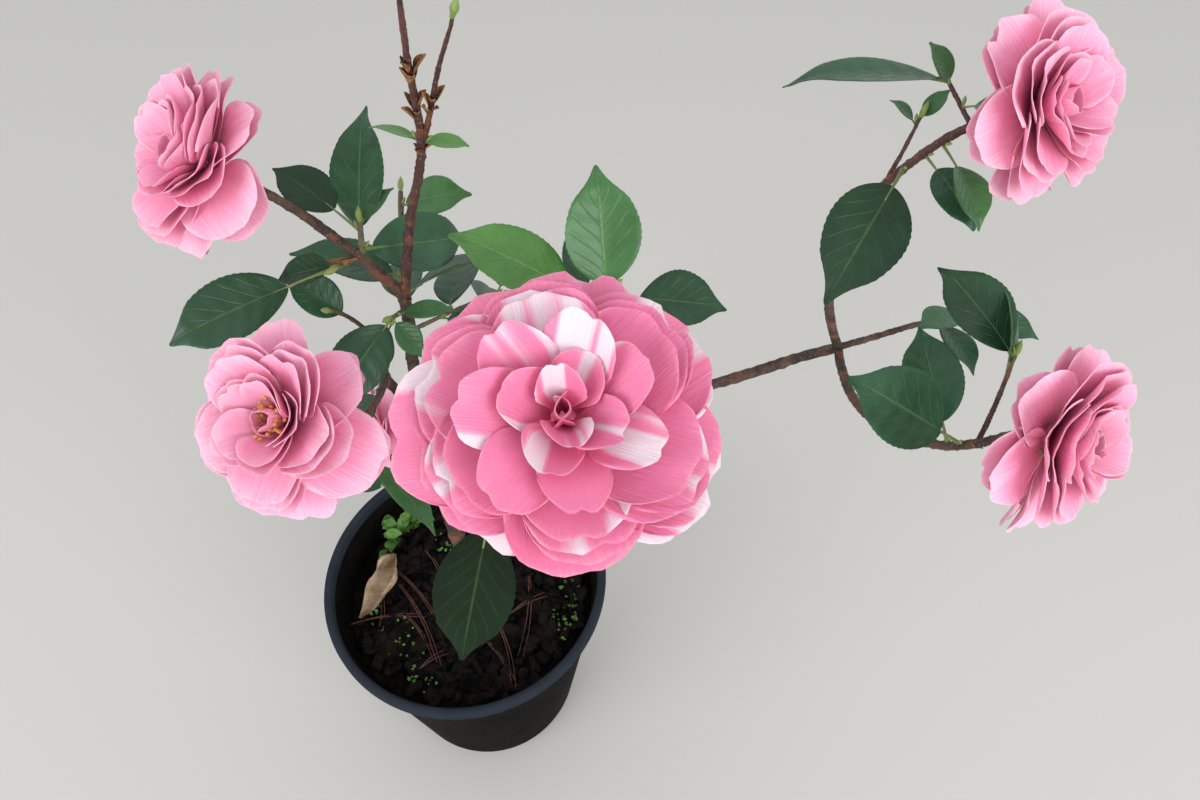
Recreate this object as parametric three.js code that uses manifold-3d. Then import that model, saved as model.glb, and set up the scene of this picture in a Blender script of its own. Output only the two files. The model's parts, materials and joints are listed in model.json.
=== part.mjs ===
// A young camellia in a round nursery pot, in bloom.
// Millimetres and degrees, +Z up. The origin is the middle of the pot's flat underside.
// A slender trunk forks above the potting mix. Each bough is one tapering limb, and each spray of
// leaves and blossom grows from the end or the side of its bough and keeps to its own space.

import * as THREE from "three";
import { mergeVertices } from "three/addons/utils/BufferGeometryUtils.js";
import Module from "manifold-3d";

const wasm = await Module();
wasm.setup();

// Driving dimensions
const POT_HEIGHT = 275;
const RIM_RADIUS = 140;
const BASE_RADIUS = 100;
const LIP_WIDTH = 7;
const LIP_DEPTH = 13;
const POT_WALL = 3;
const POT_SIDES = 32;
const DRAIN_HOLES = 6;
const DRAIN_RADIUS = 8;
const DRAIN_CIRCLE = 72;
const SOIL_BELOW_RIM = 55;
const FOOT_BEVEL = 2;
const LIP_SLOPE = 1;
const LIP_ROUND = 3;
const LIP_CREST = 4;
const HOLE_SIDES = 8;
const TRUNK_HEIGHT = 320;
const FOOT_SUNK = 2;
const ROOT_FLARE = 5.5;
const FLARE_HEIGHT = 14;
const CLEAR = 0.3;

const SOIL_TOP = POT_HEIGHT - SOIL_BELOW_RIM;
const UP = new THREE.Vector3(0, 0, 1);

// Limbs. Each leaves its parent at a share of the parent's length, and its heading, an azimuth and a
// rise, changes evenly along it by turn and lift. The bare share of it is the bough's own solid, and
// what is left of its length is the stem of the spray that it names.
const LIMBS = {
  trunk: { at: 0, azimuth: 70, rise: 88, length: TRUNK_HEIGHT + FOOT_SUNK, lift: 4, radii: [7.6, 5.6] },
  centre_bough: { from: "trunk", at: 1, azimuth: 60, rise: 83, length: 117, radii: [4.4, 3.9] },
  left_bough: {
    from: "centre_bough", at: 1, azimuth: 174, rise: 61, length: 132, turn: 23, lift: -14,
    radii: [3.7, 2.3], bare: 0.62, spray: "upper_left_spray",
  },
  sprout: {
    from: "centre_bough", at: 1, azimuth: 44, rise: 77, length: 124, turn: -88, lift: -6,
    radii: [3.2, 2.4], bare: 0.97, spray: "sprout_twigs",
  },
  side_bough: {
    from: "trunk", at: 1, azimuth: 200, rise: 71, length: 53, turn: -43,
    radii: [3.6, 3], bare: 0.9, spray: "left_spray",
  },
  front_bough: {
    from: "trunk", at: 1, azimuth: -58, rise: 24, length: 360, turn: -1, lift: 50,
    radii: [4.6, 2.6], bare: 0.43, spray: "front_spray",
  },
  middle_bough: {
    from: "front_bough", at: 0.1, azimuth: -20, rise: 55, length: 222, turn: 10,
    radii: [3.6, 2], bare: 0.55, spray: "middle_spray",
  },
  back_bough: {
    from: "trunk", at: 0.875, azimuth: 103, rise: 73, length: 200, turn: -17, lift: -27,
    radii: [3.8, 1.8], bare: 0.4, spray: "back_spray",
  },
  right_bough: {
    from: "trunk", at: 0.58, azimuth: 25, rise: 18, length: 360, turn: -26, lift: 7, radii: [5.4, 4],
  },
  right_upper_bough: {
    from: "right_bough", at: 1, azimuth: 17, rise: 118, length: 274, turn: -73, lift: -78,
    radii: [3.6, 2.4], bare: 0.56, spray: "right_upper_spray",
  },
  right_lower_bough: {
    from: "right_bough", at: 1, azimuth: -100, rise: 11, length: 270, turn: 42, lift: 56,
    radii: [3.6, 2.4], bare: 0.62, spray: "right_lower_spray",
  },
  right_mid_bough: {
    from: "right_bough", at: 1, azimuth: -5, rise: 35, length: 113, turn: -37, lift: 16,
    radii: [2.8, 1.6], bare: 0.5, spray: "right_mid_spray",
  },
};

// Twigs. A spray whose stem comes off the side of a bough or of the trunk has that stem here, first.
const TWIGS = {
  left_spur: {
    from: "left_bough", at: 0.3, azimuth: 60, rise: 76, length: 26, radii: [2, 1.6],
    spray: "left_node_spray",
  },
  side_spur: {
    from: "left_bough", at: 0.32, azimuth: -125, rise: 12, length: 18, radii: [1.7, 1.3],
    spray: "left_side_spray",
  },
  centre_spur: {
    from: "centre_bough", at: 0.92, azimuth: -110, rise: 28, length: 20, radii: [1.7, 1.3],
    spray: "centre_spray",
  },
  left_stem: {
    from: "side_bough", at: 1, azimuth: -89, rise: 14, length: 163, turn: -7, lift: 57,
    radii: [2.6, 2.2], spray: "left_spray",
  },
  left_shoot: {
    from: "side_bough", at: 0.97, azimuth: 75, rise: 76, length: 74, turn: 168, lift: -27,
    radii: [1.9, 1.3], spray: "left_spray",
  },
  low_stem: {
    from: "trunk", at: 0.93, azimuth: -156, rise: 38, length: 35, turn: 22, lift: 13,
    radii: [2.2, 1.7], spray: "low_spray",
  },
  low_shoot: {
    from: "low_stem", at: 0.5, azimuth: -108, rise: 32, length: 58, radii: [1.5, 1.1],
    spray: "low_spray",
  },
  sprout_left: {
    from: "sprout", at: 1, azimuth: -70, rise: 70, length: 112, lift: 10, radii: [2.4, 1.2],
    spray: "sprout_twigs",
  },
  sprout_right: {
    from: "sprout", at: 0.985, azimuth: -42, rise: 64, length: 100, radii: [1.8, 0.9],
    spray: "sprout_twigs",
  },
  back_shoot: {
    from: "back_bough", at: 0.5, azimuth: 35, rise: 4, length: 78, lift: -18, radii: [1.7, 1.1],
    spray: "back_spray",
  },
  right_upper_shoot: {
    from: "right_upper_bough", at: 0.63, azimuth: 38, rise: 69, length: 48, radii: [1.6, 1.1],
    spray: "right_upper_spray",
  },
  right_end_shoot: {
    from: "right_upper_bough", at: 0.9, azimuth: 128, rise: 35, length: 32, radii: [1.5, 1.1],
    spray: "right_upper_spray",
  },
  right_lower_shoot: {
    from: "right_lower_bough", at: 0.85, azimuth: 61, rise: 27, length: 55, radii: [1.6, 1.2],
    spray: "right_lower_spray",
  },
  inner_right_stem: {
    from: "right_bough", at: 0.3, azimuth: 78, rise: 52, length: 105, turn: -30, lift: -30,
    radii: [2.4, 1.4], spray: "inner_right_spray",
  },
  outer_right_stem: {
    from: "right_bough", at: 0.36, azimuth: -75, rise: 34, length: 60, turn: 30, lift: -20,
    radii: [2.2, 1.4], spray: "outer_right_spray",
  },
  inner_back_stem: {
    from: "trunk", at: 0.74, azimuth: 48, rise: 40, length: 120, lift: -25, radii: [2.6, 1.5],
    spray: "inner_back_spray",
  },
  inner_left_stem: {
    from: "trunk", at: 0.66, azimuth: 160, rise: 44, length: 125, lift: -30, radii: [2.6, 1.5],
    spray: "inner_left_spray",
  },
  low_front_stem: {
    from: "trunk", at: 0.78, azimuth: -40, rise: 30, length: 110, turn: 20, lift: -20,
    radii: [2.4, 1.4], spray: "low_front_spray",
  },
  low_back_stem: {
    from: "trunk", at: 0.5, azimuth: 105, rise: 45, length: 115, lift: -30, radii: [2.5, 1.5],
    spray: "low_back_spray",
  },
};

// Leaves that are placed one by one, by the limb or twig that they hang on. A stalk holds each, roll
// turns it round its own length, and its width is a share of the blade's length.
const LEAVES = {
  left_spur: [
    { at: 0.5, azimuth: 87, rise: 52, stalk: 8, length: 71, width: 0.52, roll: -18 },
    { at: 0.75, azimuth: 153, rise: 34, stalk: 19, length: 45, width: 0.66, roll: -8 },
    { at: 0.25, azimuth: 44, rise: -26, stalk: 8, length: 92, width: 0.42, roll: 55 },
    { at: 0.9, azimuth: 30, rise: 44, stalk: 5, length: 26, width: 0.5, roll: 0 },
  ],
  side_spur: [
    { at: 0.75, azimuth: -167, rise: 2, stalk: 7, length: 34, width: 0.66, roll: -12 },
    { at: 0.95, azimuth: -153, rise: -3, stalk: 31, length: 78, width: 0.54, roll: -22 },
  ],
  centre_spur: [
    { at: 0.8, azimuth: -130, rise: -26, stalk: 8, length: 62, width: 0.58, roll: -30 },
    { at: 0.65, azimuth: -142, rise: -50, stalk: 12, length: 34, width: 0.7, roll: -28 },
    { at: 0.95, azimuth: -34, rise: -46, stalk: 5, length: 28, width: 0.66, roll: 0 },
    { at: 0.6, azimuth: 1, rise: 12, stalk: 5, length: 33, width: 0.45, roll: 8 },
  ],
  left_shoot: [{ at: 0.78, azimuth: 174, rise: 50, stalk: 5, length: 42, width: 0.64, roll: -24 }],
  left_stem: [{ at: 0.12, azimuth: -146, rise: -36, stalk: 5, length: 28, width: 0.76, roll: -10 }],
  low_shoot: [
    { at: 0.55, azimuth: -28, rise: 20, stalk: 6, length: 48, width: 0.6, roll: 0 },
    { at: 0.95, azimuth: -40, rise: -9, stalk: 4, length: 66, width: 0.36, roll: -30 },
  ],
  sprout_left: [{ at: 0.03, azimuth: 165, rise: 20, stalk: 3, length: 26, width: 0.45, roll: 20 }],
  sprout_right: [{ at: 0.05, azimuth: 10, rise: -5, stalk: 3, length: 22, width: 0.6, roll: 0 }],
  back_bough: [{ at: 0.95, azimuth: -8, rise: 26, stalk: 5, length: 48, width: 0.62, roll: 22 }],
  middle_bough: [
    { at: 0.93, azimuth: 170, rise: 34, stalk: 18, length: 66, width: 0.56, roll: -15 },
    { at: 0.98, azimuth: 98, rise: 62, stalk: 5, length: 60, width: 0.66, roll: 0 },
    { at: 0.86, azimuth: 92, rise: 66, stalk: 14, length: 50, width: 0.56, roll: -58 },
    { at: 0.96, azimuth: -9, rise: 8, stalk: 20, length: 46, width: 0.74, roll: 8 },
  ],
  front_bough: [
    { at: 0.5, azimuth: -102, rise: -27, stalk: 26, length: 78, width: 0.58, roll: -10 },
    { at: 0.58, azimuth: 30, rise: -14, stalk: 8, length: 56, width: 0.56, roll: 10 },
    { at: 0.66, azimuth: 152, rise: -6, stalk: 8, length: 48, width: 0.56, roll: -14 },
    { at: 0.76, azimuth: 82, rise: -8, stalk: 8, length: 52, width: 0.54, roll: 6 },
  ],
  right_upper_bough: [
    { at: 0.71, azimuth: -122, rise: -11, stalk: 17, length: 86, width: 0.58, roll: -10 },
    { at: 0.77, azimuth: -64, rise: -11, stalk: 14, length: 43, width: 0.68, roll: 8 },
    { at: 0.82, azimuth: -66, rise: -14, stalk: 18, length: 40, width: 0.66, roll: -12 },
  ],
  right_upper_shoot: [
    { at: 0.95, azimuth: 25, rise: 50, stalk: 4, length: 20, width: 0.62, roll: 0 },
    { at: 0.9, azimuth: 150, rise: 40, stalk: 4, length: 18, width: 0.6, roll: 0 },
  ],
  right_end_shoot: [
    { at: 0.95, azimuth: -177, rise: 10, stalk: 5, length: 88, width: 0.34, roll: 8 },
    { at: 0.8, azimuth: 150, rise: 58, stalk: 4, length: 24, width: 0.6, roll: -20 },
    { at: 0.4, azimuth: -42, rise: 34, stalk: 8, length: 26, width: 0.7, roll: 10 },
  ],
  right_lower_bough: [
    { at: 0.75, azimuth: 101, rise: 29, stalk: 14, length: 62, width: 0.56, roll: -24 },
    { at: 0.8, azimuth: 162, rise: 28, stalk: 16, length: 62, width: 0.74, roll: -28 },
  ],
  right_lower_shoot: [
    { at: 0.97, azimuth: 126, rise: 28, stalk: 5, length: 62, width: 0.62, roll: -6 },
    { at: 0.8, azimuth: 77, rise: 36, stalk: 6, length: 44, width: 0.5, roll: 58 },
  ],
  right_mid_bough: [
    { at: 0.9, azimuth: -150, rise: 20, stalk: 6, length: 40, width: 0.6, roll: 0 },
    { at: 0.72, azimuth: -70, rise: 8, stalk: 6, length: 46, width: 0.56, roll: -10 },
    { at: 0.96, azimuth: -28, rise: 4, stalk: 6, length: 44, width: 0.56, roll: 12 },
  ],
};

// Leaves that grow by rule along a limb or twig, from one share of its length to another: each is
// turned on from the last by the golden angle and leans away from the limb.
const RULED_LEAVES = [
  { on: "back_bough", count: 5, from: 0.46, to: 0.72 },
  { on: "back_shoot", count: 7, from: 0.25, to: 1 },
  { on: "middle_bough", count: 5, from: 0.6, to: 0.86 },
  { on: "inner_right_stem", count: 9, from: 0.25, to: 1 },
  { on: "outer_right_stem", count: 6, from: 0.3, to: 1 },
  { on: "inner_back_stem", count: 9, from: 0.25, to: 1 },
  { on: "inner_left_stem", count: 9, from: 0.25, to: 1 },
  { on: "low_front_stem", count: 7, from: 0.3, to: 1 },
  { on: "low_back_stem", count: 8, from: 0.3, to: 1 },
  { on: "left_bough", count: 2, from: 0.8, to: 0.9 },
];
const GOLDEN_ANGLE = 137.5;
const RULED_LENGTH = 62;
const RULED_WIDTH = 0.52;
const RULED_STALK = 8;
const RULED_LEAN = 58;
const RULE_SEEDS = 50;
const LEAF_SPACING = 13;
const BLOOM_SPACING = 4;

// How far the leaves of the rule differ from each other: degrees round the limb, away from it and in
// their roll, and shares of their length and of their width's share
const SPIN_SPREAD = 40;
const LEAN_SPREAD = 24;
const ROLL_SPREAD = 50;
const SHORTEST = 0.72;
const LENGTH_SPREAD = 0.5;
const WIDTH_SPREAD = 0.1;

// Blooms at the ends of their limbs. A whorl's tilt is its petals' angle from the bloom's axis, out
// is how far from the axis they start, and bend curls them towards it.
const FULL_WHORLS = [
  { petals: 7, length: 60, width: 50, tilt: 92, bend: -12, cup: 0.16, out: 6, sink: 6, spin: 0 },
  { petals: 6, length: 45, width: 40, tilt: 72, bend: 6, cup: 0.2, out: 6, sink: 2, spin: 24 },
  { petals: 5, length: 37, width: 32, tilt: 54, bend: 14, cup: 0.26, out: 5, sink: -1, spin: 10 },
  { petals: 2, length: 21, width: 18, tilt: 24, bend: 20, cup: 0.4, out: 2, sink: -3, spin: 50 },
];
const OPEN_WHORLS = [
  { petals: 6, length: 52, width: 48, tilt: 86, bend: -10, cup: 0.18, out: 5, sink: 4, spin: 0 },
  { petals: 5, length: 41, width: 36, tilt: 58, bend: 14, cup: 0.24, out: 5, sink: 0, spin: 28 },
  { petals: 4, length: 31, width: 24, tilt: 28, bend: 22, cup: 0.3, out: 4, sink: -2, spin: 8 },
];
const SMALL_WHORLS = [
  { petals: 5, length: 33, width: 32, tilt: 82, bend: -8, cup: 0.2, out: 3, sink: 2, spin: 0 },
  { petals: 3, length: 25, width: 22, tilt: 46, bend: 16, cup: 0.3, out: 3, sink: 0, spin: 30 },
];
const BLOOMS = [
  { on: "front_bough", azimuth: -81, rise: 66, whorls: FULL_WHORLS, core: 12, spread: 58 },
  { on: "left_bough", azimuth: 215, rise: 50, whorls: OPEN_WHORLS, core: 11, spread: 52 },
  { on: "left_stem", azimuth: -117, rise: 53, whorls: OPEN_WHORLS, core: 11, spread: 50 },
  { on: "right_upper_bough", azimuth: -50, rise: 42, whorls: OPEN_WHORLS, core: 11, spread: 52 },
  { on: "right_lower_bough", azimuth: -46, rise: 32, whorls: OPEN_WHORLS, core: 11, spread: 52 },
  { on: "low_stem", azimuth: 220, rise: 48, whorls: SMALL_WHORLS, core: 8, spread: 34 },
];

// Colours of the real surfaces
const POT_BLACK = new THREE.MeshStandardMaterial({ color: 0x1b1c1e, roughness: 0.5, metalness: 0 });
const BARK_MIX = new THREE.MeshStandardMaterial({ color: 0x2a211c, roughness: 0.95, metalness: 0 });
const BROWN_BARK = new THREE.MeshStandardMaterial({ color: 0x4a3327, roughness: 0.8, metalness: 0 });
const LEAF_GREEN = new THREE.MeshStandardMaterial({ color: 0x2b5233, roughness: 0.4, metalness: 0 });
const PETAL_PINK = new THREE.MeshStandardMaterial({ color: 0xf08aae, roughness: 0.55, metalness: 0 });
const RED_TWIG = new THREE.MeshStandardMaterial({ color: 0x4b2820, roughness: 0.6, metalness: 0 });

// Steps that a limb's line is worked out in, and the corners round and along each kind of limb: a ring
// of them for each stride of its length, or for each few degrees that it turns through
const LINE_STEPS = 24;
const RING_TURN = 20;
const TRUNK_SHAPE = { sides: 7, flare: ROOT_FLARE, stride: 20 };
const BOUGH_SHAPE = { sides: 7, flare: 0, stride: 30 };
const STEM_SHAPE = { sides: 5, flare: 0, stride: 24 };
const TWIG_SHAPE = { sides: 4, flare: 0, stride: 24 };

// Corners along and round the low sphere that is drawn out into a leaf or a petal
const BLADE_ROWS = 4;
const BLADE_SPOKES = 4;

const radians = THREE.MathUtils.degToRad;

// A share from 0 to 1 that is always the same for the same number
function share(number) {
  const wave = Math.sin(number * 12.9898) * 43758.5453;
  return wave - Math.floor(wave);
}

// The direction of an azimuth and a rise
function heading(azimuth, rise) {
  const across = Math.cos(radians(rise));
  return new THREE.Vector3(
    Math.cos(radians(azimuth)) * across,
    Math.sin(radians(azimuth)) * across,
    Math.sin(radians(rise)),
  );
}

// The line of a limb: its points, its headings and its length
function growLine(limb, lines) {
  const { azimuth, rise, length, turn = 0, lift = 0 } = limb;
  const foot = new THREE.Vector3(0, 0, SOIL_TOP - FOOT_SUNK);
  const start = limb.from ? pointOn(lines[limb.from], limb.at) : foot;
  const points = [start];
  for (let step = 0; step < LINE_STEPS; step += 1) {
    const along = (step + 0.5) / LINE_STEPS;
    const direction = heading(azimuth + turn * along, rise + lift * along);
    points.push(points[step].clone().addScaledVector(direction, length / LINE_STEPS));
  }
  return { points, azimuth, rise, length, turn, lift, radii: limb.radii };
}

function pointOn(line, along) {
  const place = THREE.MathUtils.clamp(along, 0, 1) * (line.points.length - 1);
  const before = Math.min(Math.floor(place), line.points.length - 2);
  return line.points[before].clone().lerp(line.points[before + 1], place - before);
}

function headingOn(line, along) {
  return heading(line.azimuth + line.turn * along, line.rise + line.lift * along);
}

// A limb's radius at a share of its length, with the flare that a trunk has at its foot
function radiusOn(line, along, flare) {
  const taper = THREE.MathUtils.lerp(line.radii[0], line.radii[1], along);
  return taper + flare * Math.exp((-along * line.length) / FLARE_HEIGHT);
}

// Two directions square to a heading: one level, one that leans up
function squareTo(direction) {
  const level = direction.clone().cross(UP);
  if (level.lengthSq() < 1e-6) {
    level.set(1, 0, 0);
  }
  const side = level.normalize();
  return { side, normal: side.clone().cross(direction).normalize() };
}

// A closed geometry as a solid, once its shared corners are merged
function solidOf(geometry) {
  const bare = geometry.clone();
  bare.deleteAttribute("normal");
  bare.deleteAttribute("uv");
  const merged = mergeVertices(bare, 1e-3);
  const mesh = new wasm.Mesh({
    numProp: 3,
    vertProperties: new Float32Array(merged.attributes.position.array),
    triVerts: new Uint32Array(merged.index.array),
  });
  return new wasm.Manifold(mesh);
}

// A low cylinder carried along a limb's line between two shares of it, all of it wider by grow
function limbSolid(line, from, to, { sides, flare, stride }, grow = 0) {
  const length = (to - from) * line.length;
  const turning = (to - from) * (Math.abs(line.turn) + Math.abs(line.lift));
  const steps = Math.max(2, Math.round(length / stride), Math.round(turning / RING_TURN));
  const geometry = new THREE.CylinderGeometry(1, 1, 1, sides, steps);
  const position = geometry.attributes.position;
  for (let index = 0; index < position.count; index += 1) {
    const row = Math.round((position.getY(index) + 0.5) * steps) / steps;
    const along = from + row * (to - from);
    const direction = headingOn(line, along);
    const { side, normal } = squareTo(direction);
    const radius = radiusOn(line, along, flare) + grow;
    const overrun = row === 0 ? -grow : row === 1 ? grow : 0;
    const point = pointOn(line, along)
      .addScaledVector(direction, overrun)
      .addScaledVector(side, position.getX(index) * radius)
      .addScaledVector(normal, position.getZ(index) * radius);
    position.setXYZ(index, point.x, point.y, point.z);
  }
  return solidOf(geometry);
}

// A low sphere drawn out into a thin blade. It starts at its root and runs along its own path, which
// bends evenly towards its normal, with a half width and a thickness for each ring of corners, and
// its edges stand up from its middle by cup times the half width.
function bladeSolid({ root, along, side, normal, length, rings, bend, cup, thick }) {
  const geometry = new THREE.SphereGeometry(1, BLADE_SPOKES, BLADE_ROWS);
  const position = geometry.attributes.position;
  const shares = [1, ...rings.map((ring) => ring.at).reverse(), 0];
  const halfWidths = [0, ...rings.map((ring) => ring.half).reverse(), 0];
  const point = new THREE.Vector3();
  for (let index = 0; index < position.count; index += 1) {
    point.fromBufferAttribute(position, index);
    const row = Math.round((Math.acos(THREE.MathUtils.clamp(point.y, -1, 1)) / Math.PI) * BLADE_ROWS);
    const reach = Math.hypot(point.x, point.z) || 1;
    const across = Math.round(point.x / reach);
    const face = Math.round(point.z / reach);
    const half = halfWidths[row];
    const swing = bendOffset(shares[row] * length, radians(bend) / length);
    const lean = radians(bend) * shares[row];
    const facing = normal.clone().multiplyScalar(Math.cos(lean)).addScaledVector(along, -Math.sin(lean));
    const raised = Math.abs(across) * cup * half + (half > 0 ? face * thick * 0.5 : 0);
    const place = root
      .clone()
      .addScaledVector(along, swing.x)
      .addScaledVector(normal, swing.y)
      .addScaledVector(side, across * half)
      .addScaledVector(facing, raised);
    position.setXYZ(index, place.x, place.y, place.z);
  }
  return solidOf(geometry);
}

// How far along and how far aside an arc of this curvature runs
function bendOffset(distance, curvature) {
  if (Math.abs(curvature) < 1e-6) {
    return new THREE.Vector2(distance, 0);
  }
  const angle = distance * curvature;
  return new THREE.Vector2(Math.sin(angle) / curvature, (1 - Math.cos(angle)) / curvature);
}

// The frame of a leaf, rolled round its own length
function leafFrame(leaf, lines) {
  const along = heading(leaf.azimuth, leaf.rise);
  const level = squareTo(along);
  const turn = radians(leaf.roll);
  const [cosine, sine] = [Math.cos(turn), Math.sin(turn)];
  const normal = level.normal.clone().multiplyScalar(cosine).addScaledVector(level.side, sine);
  const side = level.side.clone().multiplyScalar(cosine).addScaledVector(level.normal, -sine);
  return { root: pointOn(lines[leaf.on], leaf.at), along, side, normal };
}

// Places on a leaf that stand for all of it when its clearance is tested, as shares of its length and
// of its half width
const TEST_FOOT = 0.12;
const TEST_MIDDLE = 0.45;
const TEST_UPPER = 0.75;
const TEST_EDGE = 0.8;

function leafPlaces(leaf, lines) {
  const { root, along, side } = leafFrame(leaf, lines);
  const half = (leaf.length * leaf.width) / 2;
  const placeAt = (part) => root.clone().addScaledVector(along, leaf.stalk + leaf.length * part);
  return [
    placeAt(TEST_FOOT),
    placeAt(TEST_MIDDLE),
    placeAt(TEST_MIDDLE).addScaledVector(side, half * TEST_EDGE),
    placeAt(TEST_MIDDLE).addScaledVector(side, -half * TEST_EDGE),
    placeAt(TEST_UPPER),
    placeAt(1),
  ];
}

// A leaf's blade is widest at one share of its length and narrows to a share of that width at another
const LEAF_WIDEST = 0.38;
const LEAF_TAPER = 0.74;
const LEAF_TAPERED = 0.68;
const LEAF_DROOP = -16;
const LEAF_FOLD = 0.22;
const LEAF_THICKNESS = 1.3;
const STALK_RADIUS = 0.9;

function leafSolid(leaf, lines) {
  const total = leaf.stalk + leaf.length;
  const half = (leaf.length * leaf.width) / 2;
  const rings = [
    { at: leaf.stalk / total, half: STALK_RADIUS },
    { at: (leaf.stalk + leaf.length * LEAF_WIDEST) / total, half },
    { at: (leaf.stalk + leaf.length * LEAF_TAPER) / total, half: half * LEAF_TAPERED },
  ];
  const shape = { length: total, rings, bend: LEAF_DROOP, cup: LEAF_FOLD, thick: LEAF_THICKNESS };
  return bladeSolid({ ...leafFrame(leaf, lines), ...shape });
}

// The petals of a bloom, whorl by whorl, with the round core that they stand out of and the green cup
// behind it. A petal's rings are shares of its length, each with a share of its half width.
const PETAL_RINGS = [
  { at: 0.3, half: 0.6 },
  { at: 0.65, half: 1 },
  { at: 0.92, half: 0.62 },
];
const PETAL_THICKNESS = 1.6;
const PETAL_UNEVEN = 0.16;
const PETAL_TILT_SPREAD = 10;
const BLOOM_SEEDS = 100;
const WHORL_SEEDS = 12;
const CORE_SIDES = 8;
const CORE_RINGS = 5;
const CUP_SIDES = 6;
const CUP_WIDTH = 0.8;
const CUP_FOOT = 2.4;
const CUP_DEPTH = 6;

function bloomSolids(bloom, lines, seed) {
  const axis = heading(bloom.azimuth, bloom.rise);
  const { side, normal } = squareTo(axis);
  const centre = bloomCentre(bloom, lines);
  const core = new THREE.SphereGeometry(bloom.core, CORE_SIDES, CORE_RINGS);
  core.translate(centre.x, centre.y, centre.z);
  const depth = bloom.core + CUP_DEPTH;
  const cup = new THREE.CylinderGeometry(bloom.core * CUP_WIDTH, CUP_FOOT, depth, CUP_SIDES);
  cup.applyQuaternion(new THREE.Quaternion().setFromUnitVectors(new THREE.Vector3(0, 1, 0), axis));
  const middle = centre.clone().addScaledVector(axis, -depth / 2);
  cup.translate(middle.x, middle.y, middle.z);
  const solids = [solidOf(core), solidOf(cup)];
  bloom.whorls.forEach((whorl, ring) => {
    for (let petal = 0; petal < whorl.petals; petal += 1) {
      const number = seed * BLOOM_SEEDS + ring * WHORL_SEEDS + petal;
      const spin = radians(whorl.spin + (360 * (petal + PETAL_UNEVEN * share(number))) / whorl.petals);
      const outward = side.clone().multiplyScalar(Math.cos(spin)).addScaledVector(normal, Math.sin(spin));
      const tilt = radians(whorl.tilt + PETAL_TILT_SPREAD * (share(number + 0.5) - 0.5));
      const along = outward.clone().multiplyScalar(Math.sin(tilt)).addScaledVector(axis, Math.cos(tilt));
      const inward = outward.clone().multiplyScalar(-Math.cos(tilt)).addScaledVector(axis, Math.sin(tilt));
      const half = whorl.width / 2;
      solids.push(
        bladeSolid({
          root: centre.clone().addScaledVector(outward, whorl.out).addScaledVector(axis, -whorl.sink),
          along,
          side: along.clone().cross(inward),
          normal: inward,
          length: whorl.length * (1 - PETAL_UNEVEN * share(number + 0.25)),
          rings: PETAL_RINGS.map((ring) => ({ at: ring.at, half: ring.half * half })),
          bend: whorl.bend,
          cup: whorl.cup,
          thick: PETAL_THICKNESS,
        }),
      );
    }
  });
  return solids;
}

function bloomCentre(bloom, lines) {
  const tip = pointOn(lines[bloom.on], 1);
  return tip.addScaledVector(heading(bloom.azimuth, bloom.rise), bloom.core + CUP_DEPTH - CUP_FOOT);
}

// The spray that a limb, twig, leaf or bloom belongs to
function sprayOf(name) {
  return (LIMBS[name] ?? TWIGS[name]).spray;
}

// Leaves of the rule along one limb, each turned on from the last and lifted towards the light
function ruledLeaves(rule, lines, seed) {
  const line = lines[rule.on];
  const leaves = [];
  for (let index = 0; index < rule.count; index += 1) {
    const number = seed * RULE_SEEDS + index;
    const at = rule.from + ((rule.to - rule.from) * (index + 0.5)) / rule.count;
    const unevenness = SPIN_SPREAD * (share(number) - 0.5);
    const spin = radians(GOLDEN_ANGLE * index + 360 * share(seed) + unevenness);
    const lean = radians(RULED_LEAN + LEAN_SPREAD * (share(number + 0.5) - 0.5));
    const direction = headingOn(line, at);
    const { side, normal } = squareTo(direction);
    const away = side.multiplyScalar(Math.cos(spin)).addScaledVector(normal, Math.sin(spin));
    const along = direction.multiplyScalar(Math.cos(lean)).addScaledVector(away, Math.sin(lean));
    leaves.push({
      on: rule.on,
      at,
      azimuth: THREE.MathUtils.radToDeg(Math.atan2(along.y, along.x)),
      rise: THREE.MathUtils.radToDeg(Math.asin(THREE.MathUtils.clamp(along.z, -1, 1))),
      stalk: RULED_STALK,
      length: RULED_LENGTH * (SHORTEST + LENGTH_SPREAD * share(number + 0.25)),
      width: RULED_WIDTH + WIDTH_SPREAD * share(number + 0.75),
      roll: ROLL_SPREAD * (share(number + 0.1) - 0.5),
    });
  }
  return leaves;
}

// Whether a leaf keeps off every limb but its own, every bloom, and the leaves already grown
function isClear(leaf, lines, grown) {
  const places = leafPlaces(leaf, lines);
  const farLimbs = Object.keys(lines).filter((name) => name !== leaf.on);
  const offLimbs = farLimbs.every((name) =>
    places.every((place) => lines[name].points.every((point) => point.distanceTo(place) > LEAF_SPACING)),
  );
  const offBlooms = BLOOMS.every((bloom) => {
    const centre = bloomCentre(bloom, lines);
    return places.every((place) => centre.distanceTo(place) > bloom.spread + BLOOM_SPACING);
  });
  const offLeaves = grown.every((other) =>
    other.every((point) => places.every((place) => point.distanceTo(place) > LEAF_SPACING)),
  );
  return offLimbs && offBlooms && offLeaves && places.every((place) => place.z > POT_HEIGHT + LEAF_SPACING);
}

// Every leaf: those that show one by one, then those of the rule that find room
function allLeaves(lines) {
  const leaves = Object.entries(LEAVES).flatMap(([on, rows]) => rows.map((row) => ({ on, ...row })));
  const grown = leaves.map((leaf) => leafPlaces(leaf, lines));
  RULED_LEAVES.forEach((rule, seed) => {
    for (const leaf of ruledLeaves(rule, lines, seed + 1)) {
      if (isClear(leaf, lines, grown)) {
        leaves.push(leaf);
        grown.push(leafPlaces(leaf, lines));
      }
    }
  });
  return leaves;
}

const FUSE_TOLERANCE = 0.1;

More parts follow.
